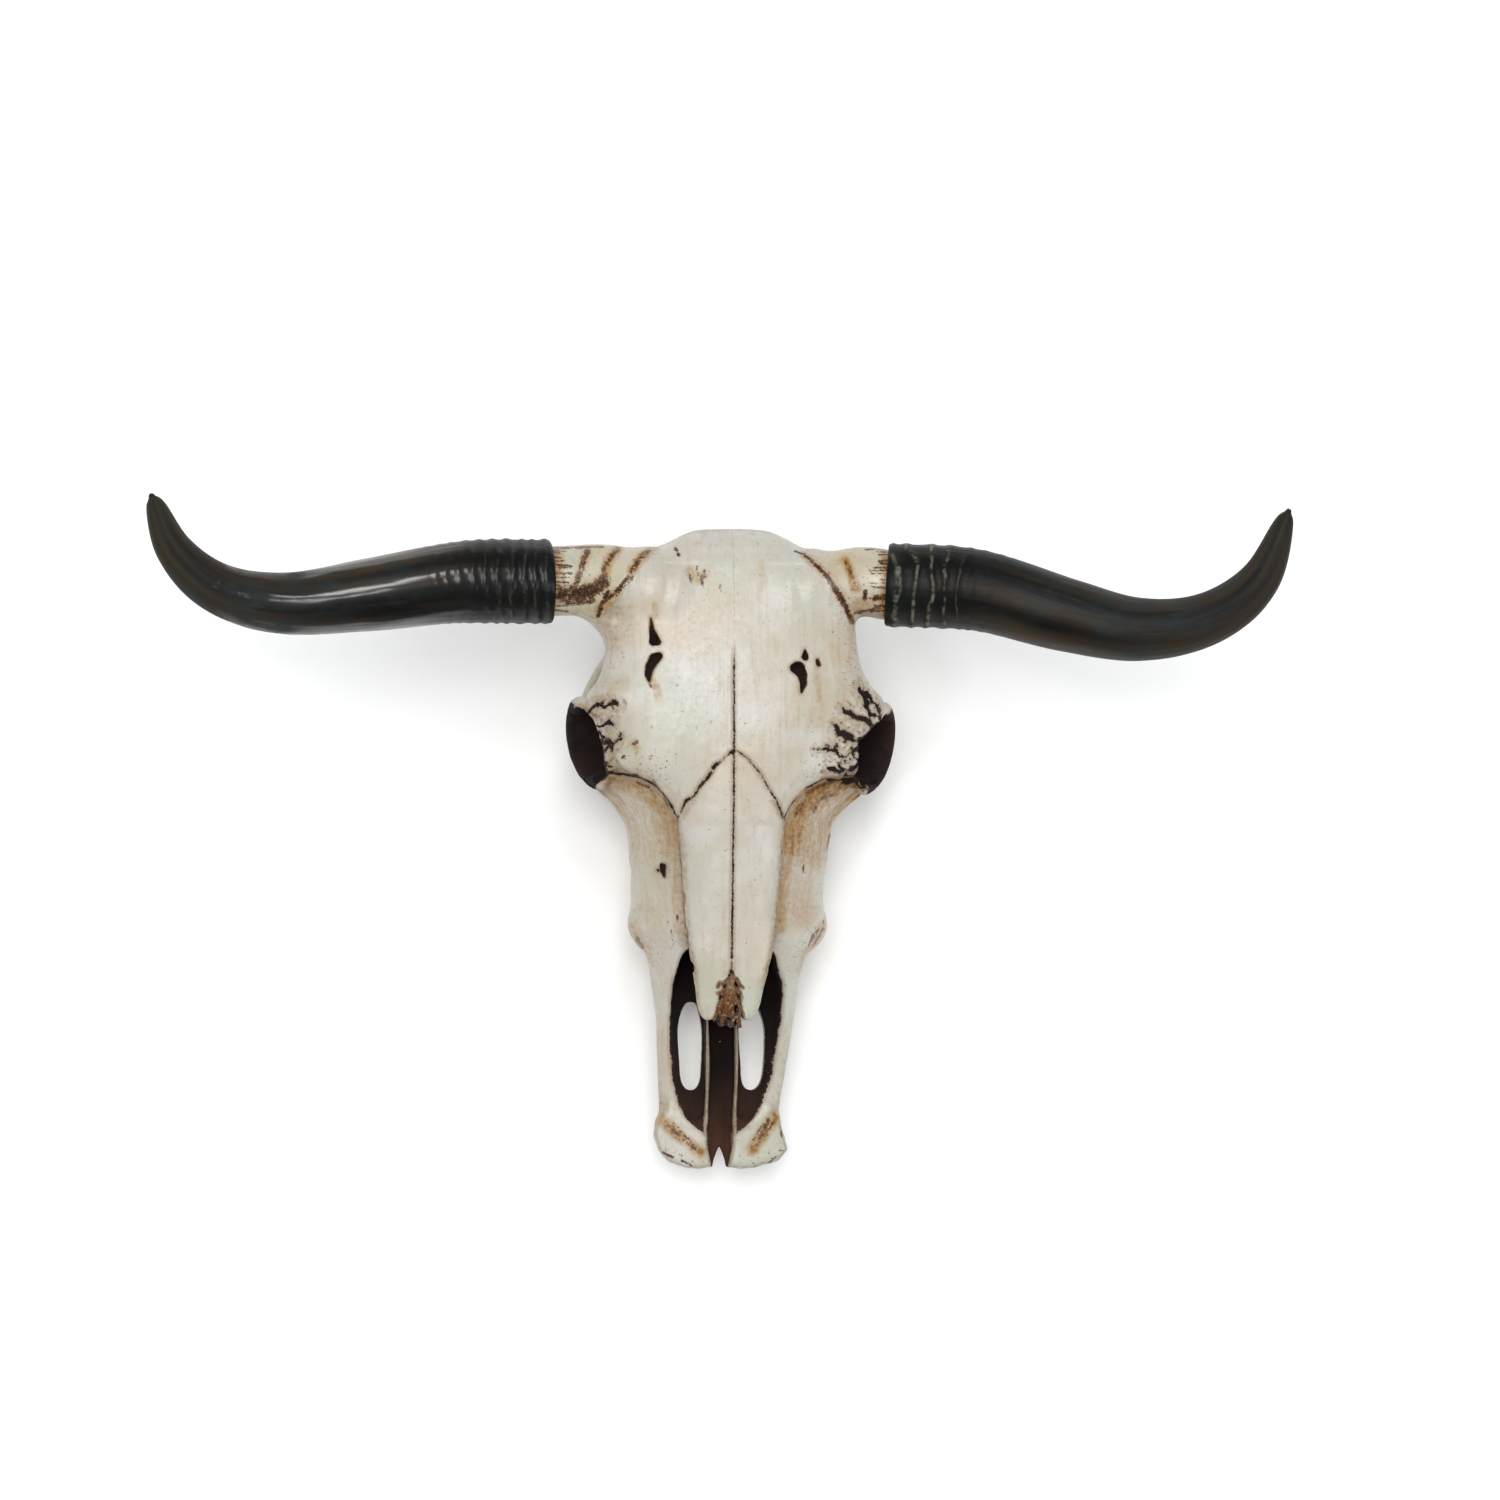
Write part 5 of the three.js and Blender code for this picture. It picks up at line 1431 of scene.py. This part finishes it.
sway, uneven, dent = (
    add(rings_tree, "ShaderNodeTexNoise",
        {"Vector": vector, "W": group_in["Seed"], "Scale": scale, "Detail": detail},
        noise_dimensions="4D")
    for vector, scale, detail in (
        (unrolled, 26, 2),  # rings sway in waves of 38 mm
        (unrolled, 55, 3),  # and rise unevenly, in lumps of 18 mm
        (drawn_out, 42, 2.5)))  # shallow dents and flutes 24 mm wide along the whole horn
fading = add(rings_tree, "ShaderNodeMapRange",
             {"Value": along_horn, "From Min": group_in["Ringed Length"], "From Max": 40.0})
for operation, by in (("ADD", -0.5), ("MULTIPLY", group_in["Waviness"])):
    sway = add(rings_tree, "ShaderNodeMath", {0: sway, 1: by}, operation=operation)
swell = along_horn
for operation, by in (
    ("DIVIDE", group_in["Ring Spacing"]), ("ADD", sway), ("FRACT", 0), ("MULTIPLY", math.pi),
    ("SINE", 0), ("POWER", 4), ("MULTIPLY", fading), ("MULTIPLY", on_skin),
):
    swell = add(rings_tree, "ShaderNodeMath", {0: swell, 1: by}, operation=operation)
rise = uneven
for operation, by in (("ADD", 0.35), ("MULTIPLY", swell), ("MULTIPLY", group_in["Ring Height"])):
    rise = add(rings_tree, "ShaderNodeMath", {0: rise, 1: by}, operation=operation)
for operation, by in (("ADD", -0.5), ("MULTIPLY", on_skin)):
    dent = add(rings_tree, "ShaderNodeMath", {0: dent, 1: by}, operation=operation)
rise = add(rings_tree, "ShaderNodeMath", {0: dent, 1: group_in["Dent Depth"], 2: rise},
           operation="MULTIPLY_ADD")
rise = add(rings_tree, "ShaderNodeMath", {0: rise, 1: MM}, operation="MULTIPLY")
outwards = add(rings_tree, "GeometryNodeInputNormal", output="Normal")
offset = add(rings_tree, "ShaderNodeVectorMath", {0: outwards, "Scale": rise},
             output="Vector", operation="SCALE")
kept_ring = add(rings_tree, "GeometryNodeStoreNamedAttribute",
                {"Geometry": group_in["Geometry"], "Name": "ring", "Value": swell},
                data_type="FLOAT", domain="POINT")
moved = add(rings_tree, "GeometryNodeSetPosition", {"Geometry": kept_ring, "Offset": offset})
real = add(rings_tree, "GeometryNodeRealizeInstances", {"Geometry": moved})
dressed = add(rings_tree, "GeometryNodeSetMaterial",
              {"Geometry": real, "Material": group_in["Finish"]})
group_out = rings_tree.nodes.new("NodeGroupOutput")
rings_tree.links.new(dressed, group_out.inputs["Geometry"])


def polished_horn(name, tip_colour, crest_colour, polish):
    """Near-black keratin: lengthwise grain, pale on worn crests, browner towards the tip, with
    painted shade in its crease.
    """
    material, tree = new_material(name)
    grain = add(tree, "ShaderNodeAttribute", output="Vector", attribute_name="grain")
    lengthwise = add(tree, "ShaderNodeMapping", {"Vector": grain, "Scale": (1, 1, 0.06)})
    along_here, ridge, crease = (
        add(tree, "ShaderNodeAttribute", output="Fac", attribute_name=attribute)
        for attribute in ("along", "ring", "crease"))
    clouds, bands, specks, fibres = (
        add(tree, "ShaderNodeTexNoise",
            {"Vector": vector, "Scale": scale, "Detail": detail, "Roughness": rough})
        for vector, scale, detail, rough in (
            (grain, 28, 4, 0.6),  # clouds of 36 mm
            (lengthwise, 60, 3, 0.55),  # bands 17 mm wide along the horn
            (grain, 150, 4, 0.6),  # specks of 7 mm
            (lengthwise, 320, 5, 0.65)))  # fibres 3 mm wide

    worn = add(tree, "ShaderNodeMapRange",
               {"Value": ridge, "From Min": 0.6, "From Max": 0.95, "To Max": 0.75})
    here = add(tree, "ShaderNodeMapRange", {"Value": specks, "From Min": 0.42, "From Max": 0.62})
    worn = add(tree, "ShaderNodeMath", {0: worn, 1: here}, operation="MULTIPLY")
    ending = add(tree, "ShaderNodeMapRange",
                 {"Value": along_here, "From Min": 290, "From Max": 400, "To Max": 0.6})
    ending = add(tree, "ShaderNodeMath", {0: ending, 1: clouds}, operation="MULTIPLY")
    colour = coats(tree, srgb("#171716"), (
        (bands, 0.44, 0.68, 1, "#372c1f"),
        (clouds, 0.48, 0.68, 0.7, "#1f2c2c"),  # a greenish cast
        (fibres, 0.6, 0.8, 0.35, "#5a4830"),
        # painted shade in the crease along the horn
        (crease, 0, 1, 0.85, "#060505"),
        (along_here, 110, 60, 0.7, "#070807"),  # blacker where it is ringed
        (worn, 0, 1, 1, crest_colour),
        (ending, 0, 1, 1, tip_colour),
    ))

    gloss = add(tree, "ShaderNodeMapRange",
                {"Value": fibres, "From Min": 0.3, "From Max": 0.7, "To Min": 0.38, "To Max": 0.56})
    handled = add(tree, "ShaderNodeMath", {0: clouds, 1: 220, 2: along_here},
                  operation="MULTIPLY_ADD")
    dull = add(tree, "ShaderNodeMapRange",
               {"Value": handled, "From Min": 290, "From Max": 370, "To Max": 0.85})
    gloss = add(tree, "ShaderNodeMix", {"Factor": dull, "A": gloss, "B": 0.66})
    height = add(tree, "ShaderNodeMath", {0: specks, 1: 0.8, 2: fibres}, operation="MULTIPLY_ADD")
    bump = add(tree, "ShaderNodeBump", {"Height": height, "Strength": 0.35, "Distance": 0.0007})

    # Hands have polished it most behind the rings, in smears that end before the curve.
    rubbed = add(tree, "ShaderNodeMapRange",
                 {"Value": handled, "From Min": 360, "From Max": 290, "To Max": polish})
    smears = add(tree, "ShaderNodeMapRange",
                 {"Value": fibres, "From Min": 0.32, "From Max": 0.6, "To Min": 1, "To Max": 0.45})
    past_rings = add(tree, "ShaderNodeMapRange",
                     {"Value": along_here, "From Min": 60, "From Max": 120, "To Min": 0.15})
    for share in (smears, past_rings):
        rubbed = add(tree, "ShaderNodeMath", {0: rubbed, 1: share}, operation="MULTIPLY")
    surface = add(tree, "ShaderNodeBsdfPrincipled",
                  {"Base Color": colour, "Roughness": gloss, "Normal": bump, "IOR": 1.3,
                   "Coat Weight": rubbed, "Coat Roughness": 0.16, "Coat IOR": 1.85})
    add(tree, "ShaderNodeOutputMaterial", {"Surface": surface})
    return material


# Polish gives keratin long, soft highlights. The left horn has more of it. The right one is
# duller, and its rings are further apart.
for side, tip_colour, crest_colour, spacing, seed, polish, crease_degrees in (
    ("left", "#40371c", "#373b38", 10.0, 3.0, 1.0, 236),
    ("right", "#332a18", "#6f6f5c", 13.0, 8.0, 0.0, 304),
):
    sheath = horn_sheath(HORN_LINES[side], f"horn_{side}_sheath", math.radians(crease_degrees))
    keratin = polished_horn(f"polished horn, {side}", tip_colour, crest_colour, polish)
    modifier = sheath.modifiers.new("growth rings", "NODES")
    modifier.node_group = rings_tree
    modifier[ring_inputs["Ring Spacing"]] = spacing
    modifier[ring_inputs["Seed"]] = seed
    modifier[ring_inputs["Finish"]] = keratin
    evaluated = sheath.evaluated_get(bpy.context.evaluated_depsgraph_get())
    ringed = bpy.data.meshes.new_from_object(evaluated)
    sheath.modifiers.clear()
    sheath.data = ringed
    ringed.shade_smooth()
    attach(sheath, "root")
    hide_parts(f"horn_{side}")

# ---- Studio -------------------------------------------------------------------------------------
# A wide pale sheet under the skull, and large soft lights over it.
floor_mesh = bpy.data.meshes.new("floor")
REACH = 4.0
floor_mesh.from_pydata([(-REACH, -REACH, 0), (REACH, -REACH, 0), (REACH, REACH, 0),
                        (-REACH, REACH, 0)], [], [(0, 1, 2, 3)])
floor = in_scene("floor", floor_mesh)
sheet, sheet_tree = new_material("matt white paper")
paper = add(sheet_tree, "ShaderNodeBsdfPrincipled",
            {"Base Color": srgb("#fcfcfb"), "Roughness": 0.9, "Specular IOR Level": 0.1})
add(sheet_tree, "ShaderNodeOutputMaterial", {"Surface": paper})
floor_mesh.materials.append(sheet)

LIGHTS = [  # the place, the side and the watts of each square lamp
    ("key", (-0.45, 0.55, 4.0), 1.6, 66),
    ("gleam", (-1.5, -0.6, 3.3), 0.45, 8),
    ("back", (0.2, 1.7, 3.3), 0.62, 15),
    ("left", (-1.9, 0.9, 1.9), 1.2, 5),
    ("right", (1.9, -0.6, 1.9), 1.2, 12),
]
middle = np.array([0.0, 0.0, 0.1])
for light_name, spot, size, power in LIGHTS:
    lamp = bpy.data.lights.new(light_name, "AREA")
    lamp.size = size
    lamp.energy = power
    holder = in_scene(light_name, lamp)
    holder.location = spot
    towards = Vector(middle - np.array(spot))
    holder.rotation_euler = towards.to_track_quat("-Z", "Y").to_euler()

world = bpy.data.worlds.new("studio")
world.use_nodes = True
world.node_tree.nodes["Background"].inputs["Color"].default_value = srgb("#f4f6f8")
world.node_tree.nodes["Background"].inputs["Strength"].default_value = 0.69
world.cycles_visibility.glossy = False  # gloss shows the lamps and the paper alone
bpy.context.scene.world = world
bpy.context.scene.view_settings.view_transform = "Standard"

# The camera hangs above the face, a little to the left of it and towards the muzzle.
CAMERA_DISTANCE = 3.0
TILT_LEFT = math.radians(4.3)
TILT_FORWARD = math.radians(3.8)
PICTURE_WIDTH = 1.184  # what the view takes in at the height of the face
MIDDLE_OF_VIEW = Vector((0.0152, 0.0811, 0.15))  # from the skull's own origin
aimed = Vector(SKULL_ORIGIN) + MIDDLE_OF_VIEW
towards_camera = Vector((-math.sin(TILT_LEFT), -math.sin(TILT_FORWARD), 0))
towards_camera.z = math.sqrt(1 - towards_camera.length_squared)
sight = -towards_camera
rightwards = sight.cross(Vector((0, 1, 0))).normalized()
camera_data = bpy.data.cameras.new("camera")
camera_data.angle = 2 * math.atan(PICTURE_WIDTH / 2 / CAMERA_DISTANCE)
camera = in_scene("camera", camera_data)
camera.location = aimed + CAMERA_DISTANCE * towards_camera
axes = (rightwards, rightwards.cross(sight), towards_camera)
camera.rotation_euler = Matrix(axes).transposed().to_euler()
bpy.context.scene.camera = camera
